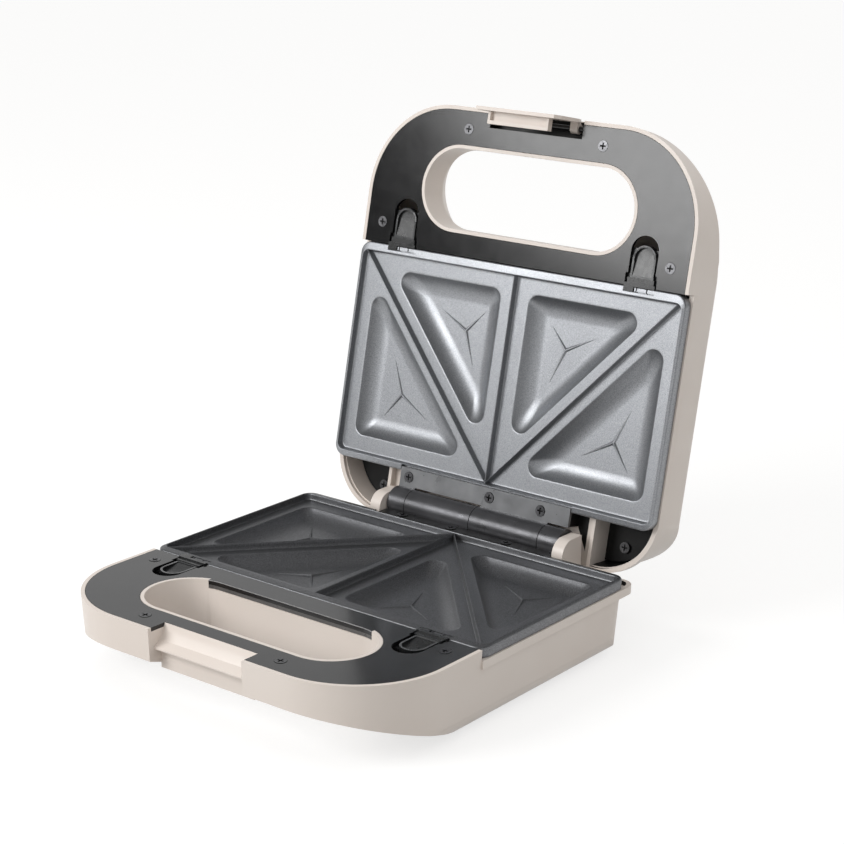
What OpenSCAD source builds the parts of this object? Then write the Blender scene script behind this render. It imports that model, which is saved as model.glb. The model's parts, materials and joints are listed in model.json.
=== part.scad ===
// Two-slice sandwich toaster. Millimetres. Front is -Y, up is +Z, the floor is Z = 0.
// Each half is drawn in its own half frame: X across, Y back from the hinge axis,
// Z out of the half from the plane of its handle panel.

/* [Shells] */
// Width of both shells across the rim
shell_w = 231; // [224:1:240]
// Distance from the hinge axis to the front of the shells
front_reach = 239; // [236:1:250]
// Depth of the base below its panel plane
base_depth = 42.9; // [41:0.1:46]
// Depth of the lid behind its panel plane
lid_depth = 41.1; // [40:0.1:44]
// Wall thickness of the shells
wall = 2.2; // [1.8:0.1:2.6]
// Radius of the front corners, seen from above
front_corner_r = 55.5; // [50:0.1:57]
// How far the walls lean in over the depth
side_lean = 2.5; // [1.5:0.1:3]
// Radius where the walls turn into the flat back
back_edge_r = 9; // [6:0.5:10]
// Distance from the front at which the base's underside starts to rise
base_sweep_len = 94; // [89:1:99]
// Radius of that rise
base_sweep_r = 105; // [95:1:115]
// Slope of the underside below the handle, in degrees
base_sweep_angle = 17.7; // [16:0.1:18.5]
// Distance from the front at which the lid's back starts to curve in
lid_sweep_len = 113.4; // [109:0.1:117]
// Radius of that curve
lid_sweep_r = 111; // [100:1:118]
// Slope of the lid's back behind the handle, in degrees
lid_sweep_angle = 18; // [16.5:0.1:18.2]
// Gap between the two panel planes when the lid is closed
parting_gap = 2.7; // [2.6:0.1:3.6]
// How far the rim beside the cooking plate lies below the panel plane
rim_drop = 5.7; // [5.6:0.1:6.4]
// Height of the band along the rim beside the plate
band_h = 4.7; // [4:0.1:5.5]
// How far that band stands out from the wall
band_out = 0.6; // [0.3:0.1:1]
// Distance from the hinge axis to the rear of the base's band
base_band_rear = 9; // [8.6:0.1:10]
// Distance from the hinge axis to the rear wall of the base's tub, at the rim
tub_rear = 15.5; // [14.6:0.1:16.4]
// How far the tub's rear wall leans forward
tub_rear_lean = 3; // [1:0.1:4]
// Radius of the tub's rear corners, seen from above
tub_rear_corner_r = 12; // [9:0.5:14]
// Distance that the lid's shell reaches behind the hinge axis
lid_rear = 12; // [11.6:0.1:14]
// Radius of the lid's rear corners, seen from above
lid_rear_corner_r = 37; // [32:0.5:40]
// How far the lid's rear wall leans forward
lid_rear_lean = 4; // [2:0.5:5]

/* [Lid angle] */
// Opening angle of the lid as drawn, in degrees
open_angle = 101.55; // [95:0.05:104]

/* [Handle] */
// Distance from the front to the rear edge of the handle panel
handle_d = 87.1; // [86:0.1:88]
// Distance from the shell's side to the end of the grip opening
grip_side = 41.8; // [40:0.1:50]
// Width of the clear grip opening, which is also twice its end radius
grip_d = 47.6; // [42:0.2:48.4]
// Distance from the front to the middle of the grip opening
grip_front = 48.2; // [46:0.1:49]
// Width of the cream ring that lines the grip opening
ring_w = 2; // [1.6:0.1:2.4]
// Depth of the panel's turned-down edge along the base grip
panel_lip_depth = 4.6; // [3:0.1:6]
// Length of that turned-down edge
panel_lip_w = 114; // [60:1:120]
// Depth at which the lid's grip opening starts to widen
lid_grip_straight = 18; // [15:0.5:20]
// Depth at which the base's grip opening starts to widen
base_grip_straight = 27; // [24:0.5:30]

/* [Panels] */
// Thickness of the handle panels
panel_t = 2.2; // [2:0.1:2.4]
// Gap round the panels
panel_gap = 0.25; // [0.2:0.05:0.4]
// Distance from a release lever out to the outer panel screw beside it
outer_screw_out = 17.5; // [16.7:0.1:19]
// Distance from the panel's rear edge to the outer panel screws
outer_screw_in = 12.7; // [10:0.1:15]
// Distance from the latch bay to the inner panel screws
inner_screw_out = 14.7; // [8:0.1:18]
// Distance from the front to the inner panel screws
inner_screw_front = 12.8; // [11:0.1:15]
// Head diameter of the panel and hinge screws
screw_head_d = 6.4; // [5.6:0.1:6.6]
// Shank diameter of the screws
screw_d = 2.8; // [2.4:0.1:3]

/* [Cooking plates] */
// Distance from the hinge axis to the rear edge of the plates
plate_rear = 18.5; // [18.2:0.1:19.2]
// How far the plate stops inside the shell's width, each side
plate_inset = 0.3; // [0.2:0.1:0.8]
// Radius of the plate's corners
plate_corner_r = 7; // [5:0.5:9]
// How far the plate's rim stands above the panel plane
lip_rise = 0.8; // [0.5:0.1:1]
// Width of the plate's rim, outer face to crest
lip_w = 3.6; // [3:0.1:4]
// Depth of the cooking field below the panel plane
field_drop = 3.3; // [2.8:0.1:3.6]
// Thickness of the plate casting
plate_t = 2.5; // [2.2:0.1:2.8]
// Depth of the triangular pockets below the field
pocket_depth = 6.8; // [5:0.1:7.2]
// Sideways run of a pocket's wall from rim to floor
pocket_run = 9.5; // [8:0.1:10]
// Distance from the field's side edge to a rear pocket
pocket_side = 6; // [5:0.1:8]
// Distance from the field's front and rear edges to the pockets
pocket_end = 9.7; // [9:0.1:11]
// Distance from the middle rib to a front pocket
pocket_mid = 10.4; // [9:0.1:12]
// Distance from a diagonal rib to the pockets beside it
pocket_diagonal = 7.4; // [6.8:0.1:10]
// Corner radius of the pockets
pocket_corner_r = 6.2; // [5:0.1:7]
// Width of the sealing ribs at their foot
rib_w = 3.4; // [2.4:0.1:4]

/* [Release levers] */
// Distance from the end of the grip opening to the middle of a release lever
lever_out = 10.6; // [10.3:0.1:12]
// Width of a lever slot
slot_w = 18; // [17:0.5:19]
// Distance from the panel's rear edge to the end of a lever slot
slot_len = 28.6; // [28:0.1:31]
// Width of a lever's tongue
tongue_w = 15; // [14:0.5:15.5]
// Travel of a lever
lever_travel = 5; // [3.5:0.1:5.2]
// Width of a lever's hook
hook_w = 20; // [18:0.5:20.4]

/* [Hinge] */
// Radius of the hinge barrel
barrel_r = 9; // [8:0.1:9.2]
// Width of the knuckle at the left end
left_knuckle = 13; // [11:0.5:16]
// Width of the knuckle at the right end
right_knuckle = 14; // [11:0.5:16]
// Radius of the hinge pin
pin_r = 2.5; // [2:0.1:3]
// Radial clearance of the hinge and latch pins
pin_clear = 0.05; // [0.03:0.01:0.08]
// Gap between two knuckles
knuckle_gap = 0.4; // [0.3:0.1:0.8]
// Thickness of both hinge leaves
leaf_t = 2; // [1.6:0.1:2.2]
// How far the lid leaf's face stands above the panel plane
lid_leaf_rise = 0.9; // [0.6:0.1:1]
// How far the base leaf's face lies below the panel plane
base_leaf_drop = 1.2; // [1:0.1:2]
// Width of the hinge ears that flank the barrel
ear_w = 7.4; // [6:0.1:9]
// Gap between the hinge ears and the ribs of the lid's hinge bay
ear_gap = 3.2; // [2:0.1:4]
// Height of the hinge ears above the panel plane
ear_rise = 8; // [5:0.1:8.4]
// Distance that the base's hinge block reaches behind the hinge axis
block_rear = 4.5; // [4:0.1:5]
// Distance from the shell's side to the lid's hinge bay
bay_side = 42.3; // [40:0.1:46]
// Depth of the lid's hinge bay
bay_depth = 10; // [9.6:0.1:11]

/* [Latch] */
// Width of the latch bay in the lid and of the catch bay in the base
latch_bay_w = 64.6; // [64:0.1:68]
// Depth of the latch bay behind the lid's front
latch_bay_d = 10.6; // [10:0.1:11]
// Depth of the catch bay behind the base's front
catch_bay_d = 12.4; // [12:0.1:12.8]
// Width of the latch
latch_w = 59; // [52:0.5:60]
// Thickness of the latch's flap
latch_t = 2.1; // [1.8:0.1:2.2]
// How far the latch reaches past the lid's panel plane
latch_reach = 23.5; // [22:0.1:24]
// Half width of the latch's hook block
latch_hook_half = 21; // [16:0.5:22]
// Height of the hook block
latch_hook_h = 4; // [3:0.1:4.4]
// Distance that the catch's ledge lies below the base's panel plane
ledge_drop = 12; // [11:0.1:12.2]

/* [Inside] */
// Radius of the heating element's tube
tube_r = 3.25; // [2.8:0.05:3.4]
// Distance from the plate's side to the element's loop
loop_side = 45.2; // [40:0.2:50]
// Distance from the plate's front edge to the element's loop
loop_front_in = 25.5; // [24:0.5:30]
// Distance from the plate's rear edge to the element's loop
loop_rear_in = 31.5; // [30:0.5:36]
// Thickness of the reflector sheet
sheet_t = 0.8; // [0.6:0.1:1]
// Radius of the cord's hole in the gland
cord_r = 3.5; // [3:0.1:3.8]

/* [Feet] */
// Height of the rubber feet
foot_h = 2; // [1.6:0.1:4]
// Radius of the rubber feet
foot_r = 6; // [4.5:0.5:8]
// Distance from the shell's side to each front foot
foot_side = 25.5; // [23:0.5:34]
// Distance from the rear edge of the handle panel back to the front feet
foot_back = 13.9; // [8:0.1:20]
// Distance from the outside of a hinge ear to each rear foot
rear_foot_in = 14; // [12:0.5:20]
// Distance from the hinge axis to the rear feet
rear_foot_y = 7; // [5:0.5:10]

/* [Hidden] */
$fn = 48;

over = 1;                 // how far a cutter runs past what it cuts
gap = 0.3;                // working gap between pieces that don't touch
far = 300;                // beyond the far side of either shell
plate_gap = 0.4;          // gap between the handle panel and the plate
lip_slope = 1.6;          // width of the slope from the rim's crest to the field
cream = [0.86, 0.82, 0.78];
gloss_black = [0.12, 0.12, 0.125];
soft_black = [0.07, 0.07, 0.075];
plate_grey = [0.42, 0.43, 0.45];
steel = [0.72, 0.73, 0.75];

// Where the frame's parts lie
axis_z = parting_gap / 2;
back_z = axis_z + lid_depth;
base_sweep_start = front_reach - base_sweep_len;
lid_sweep_start = front_reach - lid_sweep_len;
open_reach = back_z * sin(open_angle) - lid_sweep_start * cos(open_angle)
    + lid_sweep_r * (1 - sin(open_angle));
hinge_y = (front_reach - open_reach) / 2;
split_z = foot_h + base_depth;
hinge_z = split_z + axis_z;

// Shell and plate lines, along Y in the half frame
front_y = -front_reach;
step_y = front_y + handle_d;
plate_y0 = step_y + plate_gap;
plate_y1 = -plate_rear;
plate_half = shell_w / 2 - plate_inset;
field_half = plate_half - lip_w - lip_slope;
field_y0 = plate_y0 + lip_w + lip_slope;
field_y1 = plate_y1 - lip_w - lip_slope;
crest_y1 = plate_y1 - lip_w;
plate_pivot_z = -1.5;
lip_bottom = -rim_drop + gap;
base_floor_z = -base_depth + wall;
lid_floor_z = -lid_depth + wall;
// Each shell: depth, start, radius and slope of the sweep, rear, rear corner, rear lean
base_form = [base_depth, base_sweep_start, base_sweep_r, base_sweep_angle,
             -tub_rear, tub_rear_corner_r, tub_rear_lean];
lid_form = [lid_depth, lid_sweep_start, lid_sweep_r, lid_sweep_angle,
            lid_rear, lid_rear_corner_r, lid_rear_lean];
band_bottom = -rim_drop - band_h;

// Handle openings, levers and hinge, across
grip_w = shell_w - 2 * grip_side;
grip_y = front_reach - grip_front;
lever_x = grip_w / 2 + lever_out;
bay_half = shell_w / 2 - bay_side;
ear_half = bay_half - ear_gap;
ear_clear = 0.6;
grip_flare = 18.9;
barrel_half = ear_half - ear_w - ear_clear;

// Inner frame, reflector and element
frame_t = 1.8;
frame_in = 7.1;
frame_h = 7;
lug_t = 3;
lug_r = 4.5;
frame_top = -field_drop - plate_t;
frame_bottom = frame_top - frame_h;
frame_half = shell_w / 2 - wall - side_lean - 0.6;
frame_y0 = plate_y0 + 1.2;
frame_y1 = field_y1 - frame_in + frame_t;
pocket_bottom = -field_drop - pocket_depth - plate_t + 0.2;
element_z = pocket_bottom - 0.9 - tube_r;
tray_z = element_z - tube_r - gap;
tray_top = frame_bottom;
boss_top = tray_top - sheet_t;
lug_points = [for (s = [-1, 1]) each [
    [s * (frame_half - 11.5), frame_y0 + 8.6],
    [s * 13, frame_y1 - 9]
]];
loop_x = plate_half - loop_side;
loop_front = -plate_y0 - loop_front_in;
loop_rear = -plate_y1 + loop_rear_in;
loop_mid = (loop_front + loop_rear) / 2;
bend_r = 12;
terminal_x = 15;
terminal_r = 6;
wing_top = -21;
wing_t = 2;
wing_screw_x = bay_half + 15.3;
wing_screw_y = -3;

// Screws
shank_r = screw_d / 2;
head_r = screw_head_d / 2;
head_h = 1.6;
screw_len = 9;
outer_screw_x = lever_x + outer_screw_out;
outer_screw_y = -step_y + outer_screw_in;
inner_screw_x = latch_bay_w / 2 + inner_screw_out;
inner_screw_y = front_reach - inner_screw_front;
panel_screws = [for (s = [-1, 1]) each [
    [s * outer_screw_x, -outer_screw_y],
    [s * inner_screw_x, -inner_screw_y]
]];

// Lever hooks: the prong, and the tabs of the plate's rim beside it, along the hook
prong_w = 6.6;
hook_tabs = [[prong_w + 0.5, prong_w + 1.4], [prong_w + 2.15, hook_w - 5.25],
             [hook_w - 4.5, hook_w + gap + over]];

// Hinge: knuckle ends along X, the lid's and the base's in turn
barrel_ends = [-barrel_half, -barrel_half + left_knuckle, -1, barrel_half - right_knuckle,
               barrel_half];
lid_leaf_y0 = crest_y1 + 1;
lid_leaf_y1 = -barrel_r - 0.9;
base_leaf_y0 = plate_y1 + 1.3;
base_leaf_y1 = -barrel_r - 0.6;
block_top = axis_z - barrel_r - 0.8;
lid_screw_in = [7, 67, 20.5];
base_screw_in = [16, 52, 32];
lid_leaf_screws = [-barrel_half + lid_screw_in[0], -barrel_half + lid_screw_in[1],
                   barrel_half - lid_screw_in[2]];
base_leaf_screws = [-barrel_half + base_screw_in[0], -barrel_half + base_screw_in[1],
                    barrel_half - base_screw_in[2]];

// Latch
latch_pin_r = 1.5;
latch_pin_y = front_y + 5;
latch_pin_z = -4.6;
latch_floor_z = -8;
ledge_y = front_y + 4;
latch_hook_z = parting_gap + ledge_drop + gap;
catch_back = front_y + catch_bay_d - 3;
latch_lug_w = 5;
latch_lug_x = latch_hook_half + 1;

// Feet, lamps and cord gland
foot_x = shell_w / 2 - foot_side;
front_foot_y = -step_y - foot_back;
rear_foot_x = ear_half - rear_foot_in;
foot_points = [for (s = [-1, 1]) each
    [[s * foot_x, -front_foot_y], [s * rear_foot_x, -rear_foot_y]]];
foot_stem_r = 3;
lamp_x = 9;
lamp_y = -lid_sweep_start + 8;
lens_r = 4;
lamp_r = 2.6;
lamp_len = 9.4;
gland_z = -28;
gland_r = cord_r + 2;
gland_out = 13;

// Small electrical parts
terminal_w = 30;
terminal_d = 12;
terminal_h = 9;
terminal_y = -44;
terminal_pitch = 10;
thermostat_r = 8;
thermostat_h = 8;
thermostat_tab = 13;
fuse_r = 2;
fuse_len = 18;

function arc(cx, cy, r, a0, a1, n = 8) =
    [for (i = [0:n]) let (a = a0 + (a1 - a0) * i / n) [cx + r * cos(a), cy + r * sin(a)]];

// ---- placing ----
module base_place() {
    translate([0, hinge_y, split_z]) children();
}

module lid_place() {
    translate([0, hinge_y, hinge_z])
        rotate([-open_angle, 0, 0])
            translate([0, 0, axis_z])
                mirror([0, 0, 1])
                    children();
}

// Prism along X of a side view drawn as [y, z]
module along_x(x0, x1) {
    translate([x0, 0, 0])
        rotate([90, 0, 90])
            linear_extrude(x1 - x0) children();
}

module box(x0, x1, y0, y1, z0, z1) {
    translate([x0, y0, z0]) cube([x1 - x0, y1 - y0, z1 - z0]);
}

module post(x, y, z0, z1, r) {
    translate([x, y, z0]) cylinder(h = z1 - z0, r = r);
}

// Rounded plan from y0 to y1, with its own radius at the front and at the rear
module plan(half, y0, y1, r0, r1) {
    translate([-half, y0 + r0]) square([2 * half, y1 - r1 - y0 - r0]);
    translate([-half + r0, y0]) square([2 * (half - r0), r0 + 0.5]);
    translate([-half + r1, y1 - r1 - 0.5]) square([2 * (half - r1), r1 + 0.5]);
    for (s = [-1, 1]) {
        translate([s * (half - r0), y0 + r0]) circle(r = r0, $fn = 96);
        translate([s * (half - r1), y1 - r1]) circle(r = r1, $fn = 64);
    }
}

module stadium(w, d) {
    for (s = [-1, 1]) translate([s * (w - d) / 2, 0]) circle(r = d / 2, $fn = 96);
    square([w - d, d], center = true);
}

// ---- shells ----
// The solid inside a shell's outer skin, moved in by inset
module shell_form(inset, f) {
    half = shell_w / 2 - inset;
    depth = f[0] - inset;
    r = back_edge_r - inset / 2;
    swing = f[2] - inset;
    y0 = front_y + inset;
    y1 = f[4] - inset;
    lean = f[6];
    slope_y = -f[1] - swing * sin(f[3]);
    slope_z = -depth + swing * (1 - cos(f[3]));
    intersection() {
        // walls that lean in towards the back
        hull() {
            linear_extrude(over) plan(half, y0, y1, front_corner_r - inset, f[5] - inset);
            translate([0, 0, -f[0] - over])
                linear_extrude(over)
                    plan(half - side_lean, y0 + side_lean, y1 - lean, front_corner_r - inset - 1,
                         f[5] - inset - 1);
        }
        translate([0, y1 + over, 0])
            rotate([90, 0, 0])
                linear_extrude(y1 - y0 + 2 * over)
                    polygon(concat(
                        [[half + over, over], [half + over, -depth + r + over]],
                        arc(half - side_lean - r, -depth + r, r, 0, -90),
                        arc(-half + side_lean + r, -depth + r, r, -90, -180),
                        [[-half - over, -depth + r + over], [-half - over, over]]));
        along_x(-half - over, half + over)
            polygon(concat(
                [[y1 + over, over], [y1 + over, -depth + r + over]],
                arc(y1 - lean - r, -depth + r, r, 0, -90),
                arc(-f[1], -depth + swing, swing, -90, -90 - f[3], 10),
                [[y0 - over, slope_z + (slope_y - y0 + over) * tan(f[3])], [y0 - over, over]]));
    }
}

module shell_skin(f, band_rear, band_r) {
    difference() {
        union() {
            difference() {
                shell_form(0, f);
                box(-shell_w, shell_w, step_y, far, band_bottom + 0.5, 2 * over);
            }
            intersection() {
                translate([0, 0, band_bottom])
                    linear_extrude(band_h)
                        plan(shell_w / 2 + band_out, front_y, band_rear, front_corner_r, band_r);
                box(-shell_w, shell_w, step_y, far, band_bottom - over, over);
            }
        }
        shell_form(wall, f);
        // hollow of the band, down to its ledge behind the tub
        translate([0, 0, band_bottom + wall])
            linear_extrude(band_h + over)
                plan(shell_w / 2 - wall, front_y + wall, band_rear - wall,
                     front_corner_r - wall, max(band_r - wall, 2));
        box(-shell_w, shell_w, front_y - over, far, 0, 2 * over);
    }
}

// Wall round the grip opening, widening towards the back
module grip_form(grow, straight) {
    deep = lid_depth + grip_flare;
    reach = deep - straight;
    translate([0, -grip_y, -straight - over])
        linear_extrude(straight + over + (grow > 0 ? 0 : 2 * over))
            stadium(grip_w + 2 * grow, grip_d + 2 * grow);
    hull() {
        translate([0, -grip_y, -straight - 0.1])
            linear_extrude(0.1) stadium(grip_w + 2 * grow, grip_d + 2 * grow);
        translate([0, -grip_y, -deep])
            linear_extrude(0.1) stadium(grip_w + 2 * grow + reach, grip_d + 2 * grow + reach);
    }
}

module screw_bosses() {
    for (p = panel_screws) post(p[0], p[1], -far, -panel_t, head_r);
    for (p = lug_points) post(p[0], p[1], -far, boss_top, head_r + 0.4);
}

module screw_bores() {
    for (p = panel_screws) post(p[0], p[1], -panel_t - screw_len, over, shank_r + pin_clear);
    for (p = lug_points) post(p[0], p[1], boss_top - screw_len, over, shank_r + pin_clear);
}

// Part of the grip's lining that the base panel's turned-down edge replaces
module panel_lip_zone(grow, z) {
    intersection() {
        translate([0, -grip_y, -z])
            linear_extrude(z + over) stadium(grip_w + 2 * grow, grip_d + 2 * grow);
        box(-panel_lip_w / 2 - grow + ring_w, panel_lip_w / 2 + grow - ring_w, -grip_y, 0, -z, 0);
    }
}

// Housing behind the tub, with the ears that flank the hinge barrel
module hinge_block() {
    ear_profile = concat(
        [[block_rear, block_top - over], [block_rear, ear_rise]],
        arc(-6, ear_rise - 9, 9, 90, 180, 10),
        [[-15, block_top - over]]);
    box(-ear_half, ear_half, -tub_rear - tub_rear_lean - 1, block_rear, -base_depth, block_top);
    for (s = [-1, 1])
        translate([s > 0 ? ear_half - ear_w : -ear_half, 0, 0])
            along_x(0, ear_w) polygon(ear_profile);
    box(-barrel_half + 0.5, barrel_half - 0.5, base_leaf_y0 - gap, base_leaf_y1, block_top - over,
        -base_leaf_drop - leaf_t);
}

// Curved lead-in and ledge that the latch hooks under
module catch() {
    y = front_y + catch_bay_d - 0.2;
    run = y - ledge_y;
    along_x(-latch_bay_w / 2 - 0.2, latch_bay_w / 2 + 0.2)
        polygon([
            [y, 0], [y - 0.16 * run, -0.38 * ledge_drop], [y - 0.42 * run, -0.7 * ledge_drop],
            [ledge_y, -0.93 * ledge_drop], [ledge_y, -ledge_drop], [catch_back, -ledge_drop],
            [catch_back, -ledge_drop - 12], [catch_back + wall, -ledge_drop - 12],
            [catch_back + wall, -ledge_drop - 3], [y + wall, -panel_t], [y, -panel_t]
        ]);
}

// Walls that line a bay in the front of a shell, down to floor_z
module bay_walls(depth, floor_z, f) {
    intersection() {
        difference() {
            box(-latch_bay_w / 2 - wall, latch_bay_w / 2 + wall, front_y, front_y + depth + wall,
                floor_z - wall, -panel_t);
            bay_cut(depth, floor_z);
        }
        shell_form(0, f);
    }
}

module bay_cut(depth, floor_z) {
    box(-latch_bay_w / 2, latch_bay_w / 2, front_y - over, front_y + depth, floor_z, over);
}

module base_shell() {
    color(cream) base_place() {
        difference() {
            union() {
                difference() {
                    shell_skin(base_form, -base_band_rear, 8);
                    // seat of the hinge
                    box(-ear_half + 0.1, ear_half - 0.1, -tub_rear - 2.5, 0, block_top, 2 * over);
                    bay_cut(catch_bay_d, -far);
                    // room for the hinge housing
                    difference() {
                        box(-ear_half - 0.05, ear_half + 0.05, -tub_rear - tub_rear_lean, far, -far,
                            2 * over);
                        shell_form(0, base_form);
                    }
                }
                intersection() {
                    union() {
                        grip_form(ring_w, base_grip_straight);
                        screw_bosses();
                    }
                    shell_form(0, base_form);
                }
                bay_walls(catch_bay_d, -far, base_form);
                catch();
            }
            grip_form(0, base_grip_straight);
            screw_bores();
            panel_lip_zone(ring_w + panel_gap + 0.1, panel_lip_depth + gap);
            foot_bores();
            // way for the wires into the hinge housing
            box(-9, 9, -tub_rear - tub_rear_lean - 2 * wall, 0, gland_z - 5, gland_z + 5);
        }
    }
}

module foot_bores() {
    for (p = foot_points)
        post(p[0], p[1], -base_depth - over, base_floor_z + over, foot_stem_r + pin_clear);
}

module hinge_housing() {
    color(cream) base_place() {
        difference() {
            hinge_block();
            // outside of the tub
            shell_form(0, base_form);
            // hollow, open to the tub
            box(-ear_half + wall, ear_half - wall, -tub_rear - tub_rear_lean - 2, block_rear - wall,
                base_floor_z, block_top - wall);
            foot_bores();
            for (x = base_leaf_screws)
                post(x, (base_leaf_y0 + base_leaf_y1) / 2, block_top - wall - over, over,
                     shank_r + pin_clear);
            translate([0, block_rear - wall - over, gland_z])
                rotate([-90, 0, 0]) cylinder(h = wall + 2 * over, r = gland_r + 0.1);
        }
    }
}

module lid_shell() {
    color(cream) lid_place() {
        difference() {
            union() {
                difference() {
                    shell_skin(lid_form, lid_rear, lid_rear_corner_r);
                    bay_cut(latch_bay_d, latch_floor_z);
                    // way through the rear wall for the base's hinge block
                    box(-bay_half, bay_half, 0, lid_rear + over + band_out, -bay_depth, over);
                }
                intersection() {
                    union() {
                        grip_form(ring_w, lid_grip_straight);
                        screw_bosses();
                        for (s = [-1, 1])
                            box(min(s * bay_half, s * (bay_half + wall)),
                                max(s * bay_half, s * (bay_half + wall)),
                                plate_y1 + 0.6, lid_rear, -far, -rim_drop);
                        box(-bay_half - over, bay_half + over, plate_y1 - 6, lid_rear,
                            -bay_depth - wall, -bay_depth);
                        box(-barrel_half + 0.5, barrel_half - 0.5, plate_y1 + 0.6,
                            lid_leaf_y1 - gap, -bay_depth - over, lid_leaf_rise - leaf_t);
                        for (s = [-1, 1])
                            post(s * wing_screw_x, wing_screw_y, -far, wing_top - wing_t, head_r + 0.4);
                    }
                    shell_form(0, lid_form);
                }
                bay_walls(latch_bay_d, latch_floor_z, lid_form);
            }
            grip_form(0, lid_grip_straight);
            screw_bores();
            for (s = [-1, 1])
                post(s * wing_screw_x, wing_screw_y, wing_top - wing_t - screw_len, over,
                     shank_r + pin_clear);
            for (x = lid_leaf_screws)
                post(x, (lid_leaf_y0 + lid_leaf_y1) / 2, -bay_depth - wall - over, over,
                     shank_r + pin_clear);
            for (s = [-1, 1])
                post(s * lamp_x, lamp_y, -lid_depth - over, lid_floor_z + over, lens_r + 0.1);
            translate([-latch_bay_w / 2 - wall - over, latch_pin_y, latch_pin_z])
                rotate([0, 90, 0])
                    cylinder(h = latch_bay_w + 2 * wall + 2 * over, r = latch_pin_r + pin_clear);
        }
    }
}

// ---- handle panels ----
module lever_slot(side) {
    r = slot_w / 2;
    end_y = step_y - slot_len + r;
    translate([side * lever_x, 0, -panel_t - over]) {
        linear_extrude(panel_t + 2 * over) {
            translate([0, end_y]) circle(r = r);
            translate([-r, end_y]) square([slot_w, step_y + over - end_y]);
            translate([-hook_w / 2 - 0.4, step_y - lever_travel - 2])
                square([hook_w + 0.8, lever_travel + 3]);
        }
    }
}

slider_half = 11;
slide_fit = 0.1;
slider_top = -panel_t - slide_fit;
slider_bottom = slider_top - 3;
slider_y0 = step_y - slot_len + 7.6;
slider_y1 = step_y - 1.2;
rail_x = slider_half + slide_fit;
stop_y = slider_y0 - lever_travel - 9.5;

module lever_rails(side) {
    translate([side * lever_x, 0, 0]) {
        for (s = [-1, 1]) {
            box(min(s * rail_x, s * (rail_x + 1.6)), max(s * rail_x, s * (rail_x + 1.6)),
                slider_y0 + 2, slider_y1 - 0.5, slider_bottom - slide_fit - 1.1, -panel_t + 0.1);
            box(min(s * (rail_x - 2.3), s * (rail_x + 1.6)),
                max(s * (rail_x - 2.3), s * (rail_x + 1.6)),
                slider_y0 + 2, slider_y1 - 0.5, slider_bottom - slide_fit - 1.1,
                slider_bottom - slide_fit);
        }
        box(-4, 4, stop_y - 1.8, stop_y, slider_bottom - 2, -panel_t + 0.1);
        translate([0, stop_y - 0.1, (slider_top + slider_bottom) / 2 - 0.6])
            rotate([-90, 0, 0]) cylinder(h = 4.4, r = 1.2);
    }
}

module handle_panel(lip, bay_d) {
    inset = wall + panel_gap;
    grow = ring_w + panel_gap;
    difference() {
        union() {
            difference() {
                translate([0, 0, -panel_t])
                    linear_extrude(panel_t)
                        plan(shell_w / 2 - inset, front_y + inset, -plate_rear,
                             front_corner_r - inset, 8);
                box(-shell_w, shell_w, step_y, 0, -panel_t - over, over);
                translate([0, -grip_y, -panel_t - over])
                    linear_extrude(panel_t + 2 * over) stadium(grip_w + 2 * grow, grip_d + 2 * grow);
            }
            for (s = [-1, 1]) lever_rails(s);
            if (lip)
                difference() {
                    panel_lip_zone(grow + 0.1, panel_lip_depth);
                    translate([0, -grip_y, -panel_lip_depth - over])
                        linear_extrude(panel_lip_depth + 2 * over) stadium(grip_w, grip_d);
                    box(-shell_w, shell_w, -grip_y - over, -grip_y + 2, -panel_lip_depth - over,
                        over);
                }
        }
        for (s = [-1, 1]) lever_slot(s);
        for (p = panel_screws) {
            post(p[0], p[1], -panel_t - over, over, shank_r + 0.3);
            post(p[0], p[1], -1.4, over, head_r + 0.15);
        }
        box(-latch_bay_w / 2, latch_bay_w / 2, front_y, front_y + bay_d, -panel_t - over, over);
    }
}

// ---- screws ----
// Pan head screw with a cross recess, its seat at z = 0 and its shank going down
module cross_screw(length) {
    difference() {
        union() {
            cylinder(h = head_h, r = head_r);
            translate([0, 0, -length]) cylinder(h = length + 0.1, r = shank_r);
        }
        for (a = [0, 90])
            rotate([0, 0, a]) translate([-1.9, -0.45, head_h - 1]) cube([3.8, 0.9, 2]);
    }
}

module panel_screw_set() {
    color("dimgray")
        for (p = panel_screws) translate([p[0], p[1], -1.4]) cross_screw(screw_len - 0.5);
}

module frame_screw_set(wings) {
    color("dimgray") {
        for (p = lug_points) translate([p[0], p[1], frame_bottom + lug_t]) cross_screw(screw_len + 1);
        if (wings)
            for (s = [-1, 1])
                translate([s * wing_screw_x, wing_screw_y, wing_top]) cross_screw(screw_len - 1);
    }
}

module leaf_screw_set(list, y, face) {
    color("dimgray")
        for (x = list) translate([x, y, face - 1.2]) cross_screw(6);
}

// ---- inner frame, reflector, element ----
module frame_plan(inset) {
    plan(frame_half - inset, frame_y0 + inset, frame_y1 - inset, 6 - inset, 5 - inset);
}

// Sunk part of the reflector, round the element's loop
module sink_plan(grow) {
    reach = tube_r + 4 + grow;
    plan(loop_x + reach, -loop_front - reach, -loop_rear + reach, 6 + grow, 6 + grow);
}

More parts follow.
